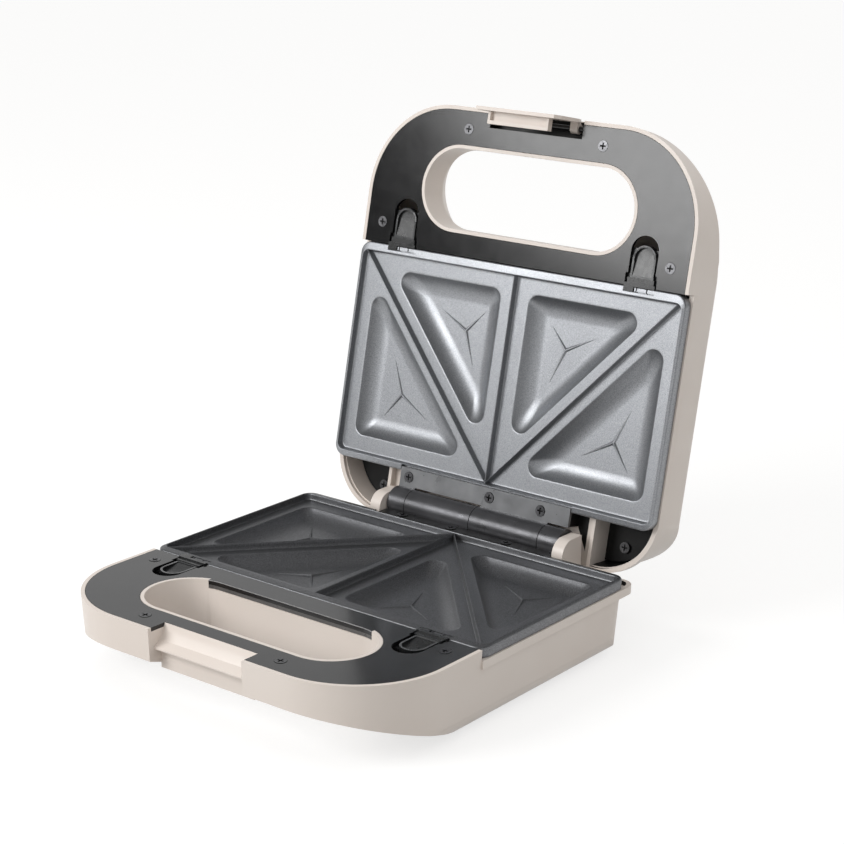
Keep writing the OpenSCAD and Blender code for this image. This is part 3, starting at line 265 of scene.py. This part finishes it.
MATS = {
    "cream": cream_plastic(),
    "gloss": black_gloss(),
    "soft": soft_black(),
    "plate": coated_plate("non_stick_plate", (122, 124, 127), (172, 174, 178)),
    # the base plate's copy of the same coating, made darker: painted shade
    "plate_base": coated_plate("non_stick_plate_base_painted_shade", (84, 85, 87), (140, 141, 144)),
    # also laid on the shells' corner walls and the latch bay as painted shade
    "frame": enamel("black_enamel", (15, 15, 15), 0.42, Specular_IOR_Level=0.25),
    # also on the latch pin as painted shade
    "leaf_black": enamel("black_leaf_enamel_and_painted_shade", (30, 30, 31), 0.32),
    "leaf_grey": enamel("leaf_grey_enamel", (126, 127, 129), 0.32, 0.6),
    "knuckle": enamel("knuckle_enamel", (82, 82, 84), 0.32, 0.6),
    # lighter grey for the levers' rim tops: painted highlight
    "lever_rim": soft_black("lever_rim_painted_highlight", (66, 67, 68), 0.22),
    "zinc": metal("dark_zinc_screw", (96, 96, 98), 0.30),
    # near black for the screws' recesses and rounded edges: painted shade
    "recess": enamel("screw_painted_shade", (8, 8, 8), 0.55, Specular_IOR_Level=0.2),
    # a light strip along the top of the base panel's grip lip: painted highlight
    "edge": enamel("painted_highlight_panel_edge", (150, 150, 152), 0.25),
    # grey for the lower part of the base panel's grip lip: painted reflection of the cream below
    "lip": enamel("panel_lip_painted_reflection", (84, 83, 82), 0.30),
    "sheet": metal("bright_sheet", (205, 205, 208), 0.20, (1, 12, 12)),
    "steel": metal("steel", (168, 168, 170), 0.28, (12, 1, 1)),
    "rubber": soft_black("black_rubber", (36, 36, 36), 0.7),
    "ivory": enamel("ivory_ceramic", (226, 221, 204), 0.45),
    "brown": enamel("brown_bakelite", (74, 44, 30), 0.35),
    "lamp": clear("lamp_glass", (255, 176, 110)),
    "red": clear("red_lens", (186, 28, 22)),
    "green": clear("green_lens", (40, 150, 60)),
}


# ---- CAD nodes with softened edges ----
def half_dir(node, n):
    """A world direction in the node's half frame."""
    if not on_lid(node):
        return tuple(n)
    c, s = math.cos(OPEN), math.sin(OPEN)
    return n[0], n[1] * c - n[2] * s, -(n[1] * s + n[2] * c)


def split_at(bm, node, cuts):
    """Cuts the faces along planes given as (axis, value) in the half frame."""
    place = placer(node)
    for axis, value in cuts:
        p, q = [0, 0, 0], [0, 0, 0]
        p[axis], q[axis] = value, value + 1
        co = place(p)
        bmesh.ops.bisect_plane(bm, geom=list(bm.verts) + list(bm.edges) + list(bm.faces), dist=1e-7,
                               plane_co=co, plane_no=(place(q) - co).normalized())


SMOOTH = 28         # degrees between faces that still count as one curve


def refine(node, mat, width, zones=(), cuts=(), edge=-1, split=True, shape=None):
    """A cleaned copy of a CAD node, smooth where it curves, its edges rounded by width mm.

    Each zone is (material, test); a face gets it when test(x, y, z, n) holds for its centre and
    its normal in the half frame. Cuts are made first, so that zones end where they should.
    The rounded edges get the material with index edge, or with -1 that of their neighbours.
    shape(x, y, z) gives a new height in the half frame to each vertex after the cuts.
    Without split, faces with many corners stay whole: for nodes that fill rightly as they are."""
    src = NODES[node]
    bm = bmesh.new()
    bm.from_mesh(src.data)
    bmesh.ops.remove_doubles(bm, verts=bm.verts, dist=2e-6)
    bmesh.ops.dissolve_limit(bm, angle_limit=math.radians(0.6), verts=bm.verts, edges=bm.edges)
    split_at(bm, node, cuts)
    if shape:
        for v in bm.verts:
            x, y, z = half_frame(node, v.co)
            v.co = placer(node)((x, y, shape(x, y, z)))
    if split:       # faces with many corners would fill wrongly once their edges are rounded
        bmesh.ops.triangulate(bm, faces=[f for f in bm.faces if len(f.verts) > 4])
    for f in bm.faces:
        f.smooth = True
        at, n = half_frame(node, f.calc_center_median()), half_dir(node, f.normal)
        for i, (_, test) in enumerate(zones):
            if test(*at, n):
                f.material_index = i + 1
    me = bpy.data.meshes.new(node + "_fine")
    bm.to_mesh(me)
    bm.free()
    me.set_sharp_from_angle(angle=math.radians(SMOOTH))
    ob = bpy.data.objects.new(node + "_fine", me)
    bpy.context.scene.collection.objects.link(ob)
    for m in [mat] + [z[0] for z in zones]:
        me.materials.append(m)
    bev = ob.modifiers.new("soft_edges", "BEVEL")
    bev.width = width * MM
    bev.segments = 2
    bev.limit_method = "ANGLE"
    bev.angle_limit = math.radians(SMOOTH + 2)
    bev.use_clamp_overlap = True
    bev.miter_outer = "MITER_ARC"
    bev.material = edge
    even = ob.modifiers.new("even_normals", "WEIGHTED_NORMAL")
    even.keep_sharp = True
    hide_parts(node)
    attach(ob, src["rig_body"])


def paint(node, mat):
    """Gives a CAD node, kept as it is, one material."""
    o = NODES[node]
    o.data.materials.clear()
    o.data.materials.append(mat)


# ---- cooking plate, cast with soft pockets ----
# millimetres in the half frame
HALF, PY0, PY1, CORNER = 115.2, -151.5, -18.5, 7.0
# inner foot of the rim, and the ends of the ribs
FOOT_X, FOOT_Y0, FOOT_Y1, FOOT_R = 112.2, -145.5, -23.4, 3.2
FIELD, FY0, FY1 = 110.0, -146.3, -23.7
# notch in the front rim for a lever's hook, and the rim's tabs in it
LEVER_X, HOOK_W, TABS = 84.3, 20.0, ((7.1, 8.0), (8.75, 14.75), (15.5, 20.3))
NOTCH_GAP, NOTCH_Y, NOTCH_Z = 0.3, 3.2, -5.35
TAB_Y0, TAB_Y1, TAB_Z = 0.4, 2.6, -1.0
# low middle of the rear rim; half the width of an upright step
LOW_X, LOW_Y, LOW_Z = 62, -22.1, -2.4
STEP = 0.012
# field below the panel plane, pockets below the field, rim above it; the pockets' corners
DROP, DEPTH, LIP, POCKET_R = 3.3, 6.8, 0.8, 6.2
# pockets' distances from the field's side and end, the middle rib and the diagonal rib
SIDE, END, MID, DIAGONAL = 6.0, 9.7, 10.4, 7.4
# the rim's rounded outer edge, where its foot starts, rings between them as parts of the way,
# rings down its foot as (distance out, height), and the height where the field's underside starts
EDGE_Z, EDGE_RUN, FOOT_RUN = 0.45, 1.0, 1.3
ACROSS = (0.429, 0.436, 0.591, 0.598, 0.915, 0.925)
FOOT = ((1.3, 0.8), (1.1, 0.74), (0.95, 0.58), (0.84, 0.25), (0.76, -0.4), (0.6, -1.9),
        (0.48, -2.6), (0.3, -3.0), (0.05, -3.22), (-0.3, -3.3), (-1.1, -3.3))
UNDER_TURN, RIM_UNDER, FIELD_UNDER = -3.0, -5.4, -5.7
# a pocket's rounded top edge; its wall's width and thickness on the underside
POCKET_OUT, POCKET_ROLL, POCKET_TURN = 1.7, 0.86, 56
WALL_RUN, WALL = 10.5, 2.3
# cross sections of a rib, and of a mark's arm above the pocket's floor, as (offset, height)
RIB = [(-1.25, -3.36), (-0.85, -3.2), (-0.62, -2.7), (-0.46, -1.2), (-0.36, 0.1), (-0.2, 0.5),
       (0, 0.6),
       (0.2, 0.5), (0.36, 0.1), (0.46, -1.2), (0.62, -2.7), (0.85, -3.2), (1.25, -3.36)]
CREASE = [(-1.4, -0.05), (-0.8, 0.12), (-0.25, 0.95), (0.25, 0.95), (0.8, 0.12), (1.4, -0.05)]
# three-armed marks in the right half's pockets, as (centre, arms)
MARKS = (((76.8, -62.0), [(11.5, 15), (-20, 11.5), (8.5, -20)]),
         ((35.8, -108.2), [(-11.5, -12.5), (18.5, -9.5), (-8, 20)]))


def pocket_corners():
    """The rear and the front pocket of the right half, each with its right angle first."""
    k = (FY1 - FY0) / FIELD
    n = math.hypot(1, k)
    rx, ry, fx, fy = FIELD - SIDE, FY1 - END, MID, FY0 + END
    rear = [(rx, ry), ((FY1 - ry) / k + DIAGONAL * n / k, ry), (rx, FY1 - rx * k + DIAGONAL * n)]
    front = [(fx, fy), ((FY1 - fy) / k - DIAGONAL * n / k, fy), (fx, FY1 - fx * k - DIAGONAL * n)]
    return rear, front


REAR, FRONT = pocket_corners()


def rim_ring(half, y0, y1, r):
    """Points round a rectangle with round corners; the same number for every ring."""
    xs = list(np.linspace(-106, 106, 27))
    marks = [-NOTCH_GAP] + [e for t in TABS for e in t]
    front = xs + [s * LEVER_X - HOOK_W / 2 + m + e
                  for s in (-1, 1) for m in marks for e in (-STEP, STEP)]
    rear = xs + [s * LOW_X + e for s in (-1, 1) for e in (-STEP, STEP)]
    ys = list(np.linspace(y0 + 9, y1 - 9, 15))

    def turn(cx, cy, a):
        return [(cx + r * math.cos(math.radians(a + t)), cy + r * math.sin(math.radians(a + t)))
                for t in np.linspace(0, 90, 11)]

    pts = [(x, y0) for x in sorted(front)] + turn(half - r, y0 + r, -90) + [(half, y) for y in ys]
    pts += turn(half - r, y1 - r, 0) + [(x, y1) for x in sorted(rear, reverse=True)]
    pts += turn(r - half, y1 - r, 90) + [(-half, y) for y in reversed(ys)]
    return np.array(pts + turn(r - half, y0 + r, 180))


def pocket_ring(t, s, r):
    """Points round triangle t moved in by s, with its corners rounded to r."""
    p = [np.array(v, float) for v in t]
    if (p[1] - p[0])[0] * (p[2] - p[0])[1] - (p[1] - p[0])[1] * (p[2] - p[0])[0] < 0:
        p = [p[0], p[2], p[1]]
    normal = []
    for i in range(3):
        d = p[(i + 1) % 3] - p[i]
        normal.append(np.array([-d[1], d[0]]) / np.hypot(*d))
    arcs = []
    for i in range(3):
        n1, n2 = normal[i - 1], normal[i]
        c = np.linalg.solve(np.array([n1, n2]), [n1 @ p[i] + s + r, n2 @ p[i] + s + r])
        a1, a2 = math.atan2(-n1[1], -n1[0]), math.atan2(-n2[1], -n2[0])
        a2 += 2 * math.pi if a2 < a1 else 0
        arcs.append([c + r * np.array([math.cos(a), math.sin(a)]) for a in np.linspace(a1, a2, 15)])
    pts = []
    for i in range(3):
        a, b = arcs[i][-1], arcs[(i + 1) % 3][0]
        pts += arcs[i] + [a + (b - a) * k / 12 for k in range(1, 12)]
    return np.array(pts)


def pocket_levels():
    """(distance in from the outline, depth, corner radius) down a pocket's wall."""
    out = [(-POCKET_OUT, 0.0), (-POCKET_ROLL, 0.0)]
    top = math.radians(POCKET_TURN)
    for a in np.linspace(0.2, 1, 5) * top:
        out.append((-POCKET_ROLL + math.sin(a), 1 - math.cos(a)))
    s0, d0 = out[-1]
    big = (DEPTH - d0) / (1 - math.cos(top))
    for a in np.radians([50, 44, 38, 32, 27, 22, 18, 14, 10.5, 7, 4, 2, 0]):
        out.append((s0 + big * (math.sin(top) - math.sin(a)), DEPTH - big * (1 - math.cos(a))))
    out.append((out[-1][0] + 0.7, DEPTH))
    return [(s, d, POCKET_R - s if s < 0 else POCKET_R - 0.42 * s) for s, d in out]


def inside(poly, x, y):
    """Whether a point lies inside a ring of points."""
    px, py = poly[:, 0], poly[:, 1]
    qx, qy = np.roll(px, -1), np.roll(py, -1)
    hit = (py > y) != (qy > y)
    cross = px + (y - py) * (qx - px) / np.where(hit, qy - py, 1)
    return bool(np.count_nonzero(hit & (x < cross)) % 2)


def rim_height(x, y, h):
    """The rim's height, with its low rear middle and the notches for the levers' hooks."""
    if abs(x) < LOW_X and y > LOW_Y:
        h = min(h, LOW_Z)
    u = x - math.copysign(LEVER_X, x) + HOOK_W / 2
    if -NOTCH_GAP < u < HOOK_W + NOTCH_GAP and y < PY0 + NOTCH_Y:
        tab = any(a < u < b for a, b in TABS) and y > PY0 + TAB_Y0
        h = NOTCH_Z if not tab else TAB_Z if y > PY0 + TAB_Y1 else min(h, LIP - 0.3)
    return h


def plate_mesh(name, place, flip):
    """One plate as rings from its outer edge inwards, each point with a top and an underside.

    flip turns the faces over where place mirrors the half frame."""
    pts, top, low, faces = [], [], [], []

    def add(ring, h, b):
        """Notes a ring's points with their heights, and gives their numbers."""
        start = len(pts)
        pts.extend(tuple(p) for p in ring)
        top.extend(h)
        low.extend(b)
        return list(range(start, len(pts)))

    def join(a, b):
        """Faces between two rings of as many points."""
        for i in range(len(a)):
            j = (i + 1) % len(a)
            faces.append((a[i], a[j], b[j], b[i]))

    rings = []
    for e in (0, 0.05, 0.15, 0.3, 0.5, 0.75, EDGE_RUN):
        h = EDGE_Z - EDGE_RUN * (1 - math.sqrt(1 - (1 - e) ** 2))
        rings.append((rim_ring(HALF - e, PY0 + e, PY1 - e, CORNER - e), h))
    outer, r = rings[-1][0], FOOT_RUN
    inner = rim_ring(FOOT_X + r, FOOT_Y0 - r, FOOT_Y1 + r, FOOT_R + r)
    for w in ACROSS:
        rings.append((outer + (inner - outer) * w, EDGE_Z + 0.35 * w))
    for e, h in FOOT:
        rings.append((rim_ring(FOOT_X + e, FOOT_Y0 - e, FOOT_Y1 + e, FOOT_R + e), h))
    last = None
    for ring, h in rings:
        under = RIM_UNDER if h > UNDER_TURN else FIELD_UNDER
        ids = add(ring, [rim_height(x, y, h) for x, y in ring], [under] * len(ring))
        if last:
            join(last, ids)
        else:
            edge = ids
        last = ids
    holes = []
    for t in (REAR, FRONT):
        for side in (1, -1):
            prev = None
            for s, d, r in pocket_levels():
                ring = pocket_ring(t, s, r)
                if side < 0:
                    ring = (ring * (-1, 1))[::-1]
                u = min(max((s + 1) / WALL_RUN, 0), 1)
                under = -DROP - DEPTH * (0.55 * (1 - (1 - u) ** 2) + 0.45 * u) - WALL
                under = min(under, FIELD_UNDER)
                ids = add(ring, [-DROP - d] * len(ring), [under] * len(ring))
                if prev:
                    join(prev, ids)
                else:
                    holes.append((ids, ring))
                prev = ids
            faces.append(tuple(prev))
    # the flat field between the rim and the pockets
    loops = [last] + [h[0] for h in holes]
    ids = [i for loop in loops for i in loop]
    at = {v: k for k, v in enumerate(ids)}
    edges = [(at[a], at[b]) for loop in loops for a, b in zip(loop, loop[1:] + loop[:1])]
    _, _, tris, origin, _, _ = delaunay_2d_cdt([Vector(pts[i]) for i in ids], edges, [], 0, 1e-6)
    for t in tris:
        v = [ids[origin[k][0]] for k in t]
        (ax, ay), (bx, by), (cx, cy) = (pts[k] for k in v)
        if not any(inside(ring, (ax + bx + cx) / 3, (ay + by + cy) / 3) for _, ring in holes):
            faces.append(tuple(v if (bx - ax) * (cy - ay) > (by - ay) * (cx - ax) else v[::-1]))
    n = len(pts)
    faces = [tuple(f) for f in faces] + [tuple(k + n for k in reversed(f)) for f in faces]
    faces += [(b, a, a + n, b + n) for a, b in zip(edge, edge[1:] + edge[:1])]
    verts = [place((x, y, h)) for (x, y), h in zip(pts + pts, top + low)]
    me = bpy.data.meshes.new(name)
    me.from_pydata(verts, [], [f[::-1] if flip else f for f in faces])
    bm = bmesh.new()
    bm.from_mesh(me)
    rib_parts(bm, place, flip)
    for f in bm.faces:
        f.smooth = True
    bm.to_mesh(me)
    bm.free()
    me.set_sharp_from_angle(angle=math.radians(48))
    ob = bpy.data.objects.new(name, me)
    bpy.context.scene.collection.objects.link(ob)
    return ob


def sweep(bm, place, a, b, profile, flip, taper=None):
    """Ridge from a to b with a cross section of (offset, height) points.

    taper(part of the way) gives what is left of its width and of its height."""
    a, b = np.array(a, float), np.array(b, float)
    d = (b - a) / np.linalg.norm(b - a)
    n = np.array([-d[1], d[0]])
    steps = 12
    low = min(z for _, z in profile)
    rows = []
    for i in range(steps + 1):
        p = a + (b - a) * i / steps
        w, g = (1.0, 1.0) if taper is None else taper(i / steps)
        row = [(p[0] + n[0] * o * w, p[1] + n[1] * o * w, low + (z - low) * g) for o, z in profile]
        rows.append([bm.verts.new(place(v)) for v in row])
    for r0, r1 in zip(rows, rows[1:]):
        for i in range(len(profile) - 1):
            f = [r0[i], r1[i], r1[i + 1], r0[i + 1]]
            bm.faces.new(f if flip else f[::-1])


def rib_parts(bm, place, flip):
    """The ribs that part the pockets, and the three-armed mark in each pocket."""
    sweep(bm, place, (0, FOOT_Y0 - 0.5), (0, FY1 + 0.6), RIB, flip)
    for s in (-1, 1):
        sweep(bm, place, (0, FY1 + 0.4), (s * FIELD, FY0 + 0.4), RIB, flip)
    floor = -DROP - DEPTH
    crease = [(o, floor + z) for o, z in CREASE]
    for c, arms in MARKS:
        for s in (-1, 1):
            for e in arms:
                sweep(bm, place, (s * c[0], c[1]), (s * (c[0] + e[0]), c[1] + e[1]), crease, flip,
                      lambda k: (1.0 - 0.75 * k, 1.0 - 0.8 * k))


def make_plates():
    for node, place, flip, body in (("base_cooking_plate", base_pt, False, "base_plate"),
                                    ("lid_cooking_plate", lid_pt, True, "lid_plate")):
        ob = plate_mesh(node + "_cast", place, flip)
        # the base plate takes the darker copy of the coating, as painted shade
        ob.data.materials.append(MATS["plate" if body == "lid_plate" else "plate_base"])
        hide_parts(node)
        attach(ob, body)


# ---- coil springs behind the levers ----
COIL_R, WIRE_R, TURNS, PER_TURN = 1.65, 0.3, 6, 16
COIL_Y, COIL_Z, COIL_LEN = -187.2, -4.4, 6.4


def make_springs():
    for node, place, body in (("base_lever_springs", base_pt, "base"),
                              ("lid_lever_springs", lid_pt, "lid")):
        cu = bpy.data.curves.new(node + "_coil", "CURVE")
        cu.dimensions = "3D"
        cu.bevel_depth = WIRE_R * MM
        cu.bevel_resolution = 2
        for s in (-1, 1):
            sp = cu.splines.new("POLY")
            pts = []
            for i in range(TURNS * PER_TURN + 1):
                a = 2 * math.pi * i / PER_TURN
                x, z = s * LEVER_X + COIL_R * math.cos(a), COIL_Z + COIL_R * math.sin(a)
                pts.append(place((x, COIL_Y + COIL_LEN * i / (TURNS * PER_TURN), z)))
            sp.points.add(len(pts) - 1)
            for q, p in zip(sp.points, pts):
                q.co = (*p, 1)
        ob = bpy.data.objects.new(node + "_coil", cu)
        bpy.context.scene.collection.objects.link(ob)
        cu.materials.append(MATS["steel"])
        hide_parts(node)
        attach(ob, body)


# ---- floor, light, world ----
ROOM, DARK = 0.78, 0.06
KEY, KEY_AT, KEY_AIM, KEY_SIZE = 16.5, (-0.673, -1.230, 0.822), (0, 0.05, 0.12), (0.9, 0.9)
FLOOR_HALF, GLOSS_ROOM = 6.0, 0.94
FLOOR_BOUNCE, FLOOR_SEEN, FLOOR_GLOW = (0.44, 0.44, 0.435), (0.40, 0.40, 0.395), 0.68
# what gloss sees: a white room with dark flags, each given as
# (direction, cosines from clear to dark, light left)
FLAGS = [((-0.66, -0.74, 0.14), (0.61, 0.905), 0.05),
         ((0, 0, 1), (0.36, 0.62), 0.30),
         ((1, 0, 0), (0.35, 0.75), 0.25)]


def any_ray(t, *kinds):
    """One where the ray is of any of these kinds, else zero."""
    lp = t.nodes.new("ShaderNodeLightPath")
    out = lp.outputs[kinds[0]]
    for kind in kinds[1:]:
        n = t.nodes.new("ShaderNodeMath")
        n.operation = "MAXIMUM"
        t.links.new(out, n.inputs[0])
        t.links.new(lp.outputs[kind], n.inputs[1])
        out = n.outputs[0]
    return out


def make_stage():
    """A pale floor that looks white to the camera and in reflections, and bounces less light."""
    me = bpy.data.meshes.new("floor")
    s = FLOOR_HALF
    me.from_pydata([(-s, -s, 0), (s, -s, 0), (s, s, 0), (-s, s, 0)], [], [(0, 1, 2, 3)])
    ob = bpy.data.objects.new("floor", me)
    bpy.context.scene.collection.objects.link(ob)
    m = bpy.data.materials.new("pale_floor")
    m.use_nodes = True
    t = m.node_tree
    t.nodes.clear()
    out = t.nodes.new("ShaderNodeOutputMaterial")
    dif = t.nodes.new("ShaderNodeBsdfDiffuse")
    emi = t.nodes.new("ShaderNodeEmission")
    seen = any_ray(t, "Is Camera Ray", "Is Glossy Ray", "Is Transmission Ray")
    mix = t.nodes.new("ShaderNodeMix")
    mix.data_type = "RGBA"
    mix.inputs["A"].default_value = (*FLOOR_BOUNCE, 1)
    mix.inputs["B"].default_value = (*FLOOR_SEEN, 1)
    t.links.new(seen, mix.inputs["Factor"])
    t.links.new(mix.outputs["Result"], dif.inputs["Color"])
    mul = t.nodes.new("ShaderNodeMath")
    mul.operation = "MULTIPLY"
    mul.inputs[1].default_value = FLOOR_GLOW
    t.links.new(seen, mul.inputs[0])
    t.links.new(mul.outputs[0], emi.inputs["Strength"])
    add = t.nodes.new("ShaderNodeAddShader")
    t.links.new(dif.outputs[0], add.inputs[0])
    t.links.new(emi.outputs[0], add.inputs[1])
    t.links.new(add.outputs[0], out.inputs["Surface"])
    me.materials.append(m)


def softbox(name, loc, aim, size, power):
    d = bpy.data.lights.new(name, "AREA")
    d.shape = "ELLIPSE"
    d.size, d.size_y = size
    d.energy = power
    o = bpy.data.objects.new(name, d)
    o.location = loc
    o.rotation_euler = (Vector(aim) - Vector(loc)).to_track_quat("-Z", "Y").to_euler()
    bpy.context.scene.collection.objects.link(o)


def make_light():
    """A white room with dark flags for gloss, and a round softbox at the front left."""
    w = bpy.data.worlds.new("studio")
    bpy.context.scene.world = w
    w.use_nodes = True
    t = w.node_tree
    t.nodes.clear()
    co = t.nodes.new("ShaderNodeTexCoord")

    def flag(direction, cosines, start, end):
        dot = t.nodes.new("ShaderNodeVectorMath")
        dot.operation = "DOT_PRODUCT"
        dot.inputs[1].default_value = Vector(direction).normalized()
        t.links.new(co.outputs["Generated"], dot.inputs[0])
        rng = t.nodes.new("ShaderNodeMapRange")
        rng.interpolation_type = "SMOOTHSTEP"
        rng.inputs["From Min"].default_value, rng.inputs["From Max"].default_value = cosines
        rng.inputs["To Min"].default_value, rng.inputs["To Max"].default_value = start, end
        t.links.new(dot.outputs["Value"], rng.inputs["Value"])
        return rng.outputs[0]

    def times(a, b):
        n = t.nodes.new("ShaderNodeMath")
        n.operation = "MULTIPLY"
        t.links.new(a, n.inputs[0])
        t.links.new(b, n.inputs[1])
        return n.outputs[0]

    def shine(color, strength=None):
        n = t.nodes.new("ShaderNodeBackground")
        n.inputs["Color"].default_value = (*color, 1)
        if strength:
            t.links.new(strength, n.inputs["Strength"])
        return n.outputs[0]

    def mix(factor, a, b):
        n = t.nodes.new("ShaderNodeMixShader")
        t.links.new(factor, n.inputs["Fac"])
        t.links.new(a, n.inputs[1])
        t.links.new(b, n.inputs[2])
        return n.outputs[0]

    seen = any_ray(t, "Is Camera Ray", "Is Transmission Ray")
    gloss = flag(FLAGS[0][0], FLAGS[0][1], GLOSS_ROOM, FLAGS[0][2])
    for direction, cosines, left in FLAGS[1:]:
        gloss = times(gloss, flag(direction, cosines, 1.0, left))
    room = shine((1.0, 0.99, 0.98), flag(FLAGS[0][0], FLAGS[0][1], ROOM, DARK))
    both = mix(any_ray(t, "Is Glossy Ray"), room, shine((1, 1, 1), gloss))
    out = t.nodes.new("ShaderNodeOutputWorld")
    t.links.new(mix(seen, both, shine((1, 1, 1))), out.inputs["Surface"])
    softbox("key", KEY_AT, KEY_AIM, KEY_SIZE, KEY)


make_camera()
make_light()
make_stage()
make_plates()
make_springs()


# ---- faces of the shells, panels and levers with painted shade, painted highlights and a painted reflection ----
REAR_Y = -19                    # behind the plate
BAY_X, BAY_Y = 32.5, -238.0     # the latch's bay
LEAF_X, LEAF_Y = 68.5, -9.1     # far side of the gap beside the leaf; where the leaf turns to knuckles


def corner_wall(x, y, z, n):
    """Faces behind the plate, painted black as painted shade: the right corner pocket's inner wall,
    and the floor and wall of the gap beside the lid's leaf."""
    if y < REAR_Y or z > -0.4:
        return False
    corner = 76 < x < 111.5 and z < -5.8 and abs(n[2]) < 0.6 and n[0] * x + n[1] * (y + 60) < 0
    return corner or 60.5 < x < LEAF_X + 0.1


# Faces of the lid shell in the latch's bay, painted black as painted shade.
def latch_bay(x, y, z, n):
    return abs(x) < BAY_X + 0.1 and BAY_Y - 0.2 < y < -227.5 and -8.4 < z < 0.1


def grip_edge(y, n):
    """Faces of the base panel that look forwards at the rear of its grip opening."""
    return n[1] < -0.7 and y > -169


refine("hinge_housing", MATS["cream"], 0.35, split=False)
# the shells' corner walls behind the plate and the lid's latch bay get the black enamel as painted
# shade
refine("base_shell", MATS["cream"], 0.35, cuts=[(1, REAR_Y)],
       zones=[(MATS["frame"], corner_wall)])
refine("lid_shell", MATS["cream"], 0.35, split=False,
       cuts=[(1, REAR_Y), (1, BAY_Y), (0, -BAY_X), (0, BAY_X), (0, LEAF_X)],
       zones=[(MATS["frame"], corner_wall), (MATS["frame"], latch_bay)])
refine("latch", MATS["cream"], 0.35)
# the base panel's lip at the rear of the grip opening: a light strip along its top is a painted
# highlight, and its lower part in grey is a painted reflection of the cream below
refine("base_handle_panel", MATS["gloss"], 0.25, cuts=[(2, -0.45), (2, -2.7)],
       zones=[(MATS["edge"], lambda x, y, z, n: grip_edge(y, n) and -0.45 < z),
              (MATS["lip"], lambda x, y, z, n: grip_edge(y, n) and z < -2.7)])
refine("lid_handle_panel", MATS["gloss"], 0.25)


FLAT_Z, DISH_Z, DISH_RISE, DISH_Y, DISH_LEN = -2.1, -2.3, 1.6, -172.8, 14.0
RIM_Z = -0.4


def dish(x, y, z):
    """Turns the lever's flat dish into one that rises from its tip towards the bar."""
    if abs(z - FLAT_Z) > 0.02 or not -175 < y < -157:
        return z
    return DISH_Z + DISH_RISE * min(max((y - DISH_Y) / DISH_LEN, 0), 1) ** 2


# the levers' rim tops get a lighter grey as painted highlight
for n in ("base_release_lever_left", "base_release_lever_right",
          "lid_release_lever_left", "lid_release_lever_right"):
    refine(n, MATS["soft"], 0.35, shape=dish,
           cuts=[(1, y) for y in (-171, -168.5, -166, -163.5, -161)],
           zones=[(MATS["lever_rim"], lambda x, y, z, n: n[2] > 0.9 and abs(z - RIM_Z) < 0.05)])
refine("base_hinge_leaf", MATS["leaf_black"], 0.35, cuts=[(1, LEAF_Y)],
       split=False, zones=[(MATS["knuckle"], lambda x, y, z, n: y > LEAF_Y)])
refine("lid_hinge_leaf", MATS["leaf_grey"], 0.35, cuts=[(1, LEAF_Y)],
       zones=[(MATS["knuckle"], lambda x, y, z, n: y > LEAF_Y)])
refine("lid_heat_frame", MATS["frame"], 0.2)
refine("base_heat_frame", MATS["frame"], 0.2)
# screws: near black as painted shade in the recess and on the rounded edge, with grey faces at the
# heights given
SCREWS = {"base_panel_screws": (0.2,), "lid_panel_screws": (0.2,),
          "base_frame_screws": (-8.2,), "lid_frame_screws": (-8.2, -19.4),
          "base_hinge_screws": (-0.8,), "lid_hinge_screws": (1.3,)}
for node, heights in SCREWS.items():
    def face(x, y, z, n):
        return n[2] > 0.9 and any(abs(z - t) < 0.12 for t in heights)

    refine(node, MATS["recess"], 0.42, zones=[(MATS["zinc"], face)], edge=0)
for n in ("base_reflector", "lid_reflector"):
    paint(n, MATS["sheet"])
for n in ("base_element", "lid_element", "base_element_clips", "lid_element_clips", "hinge_pin"):
    paint(n, MATS["steel"])
# the latch pin gets the leaf's black as painted shade
paint("latch_pin", MATS["leaf_black"])
refine("rubber_feet", MATS["rubber"], 0.5)
refine("cord_gland", MATS["rubber"], 0.4)
paint("terminal_block", MATS["ivory"])
paint("thermal_fuse", MATS["ivory"])
paint("thermostat", MATS["brown"])
paint("power_lamp", MATS["lamp"])
paint("ready_lamp", MATS["lamp"])
refine("power_lamp_lens", MATS["red"], 0.3)
refine("ready_lamp_lens", MATS["green"], 0.3)
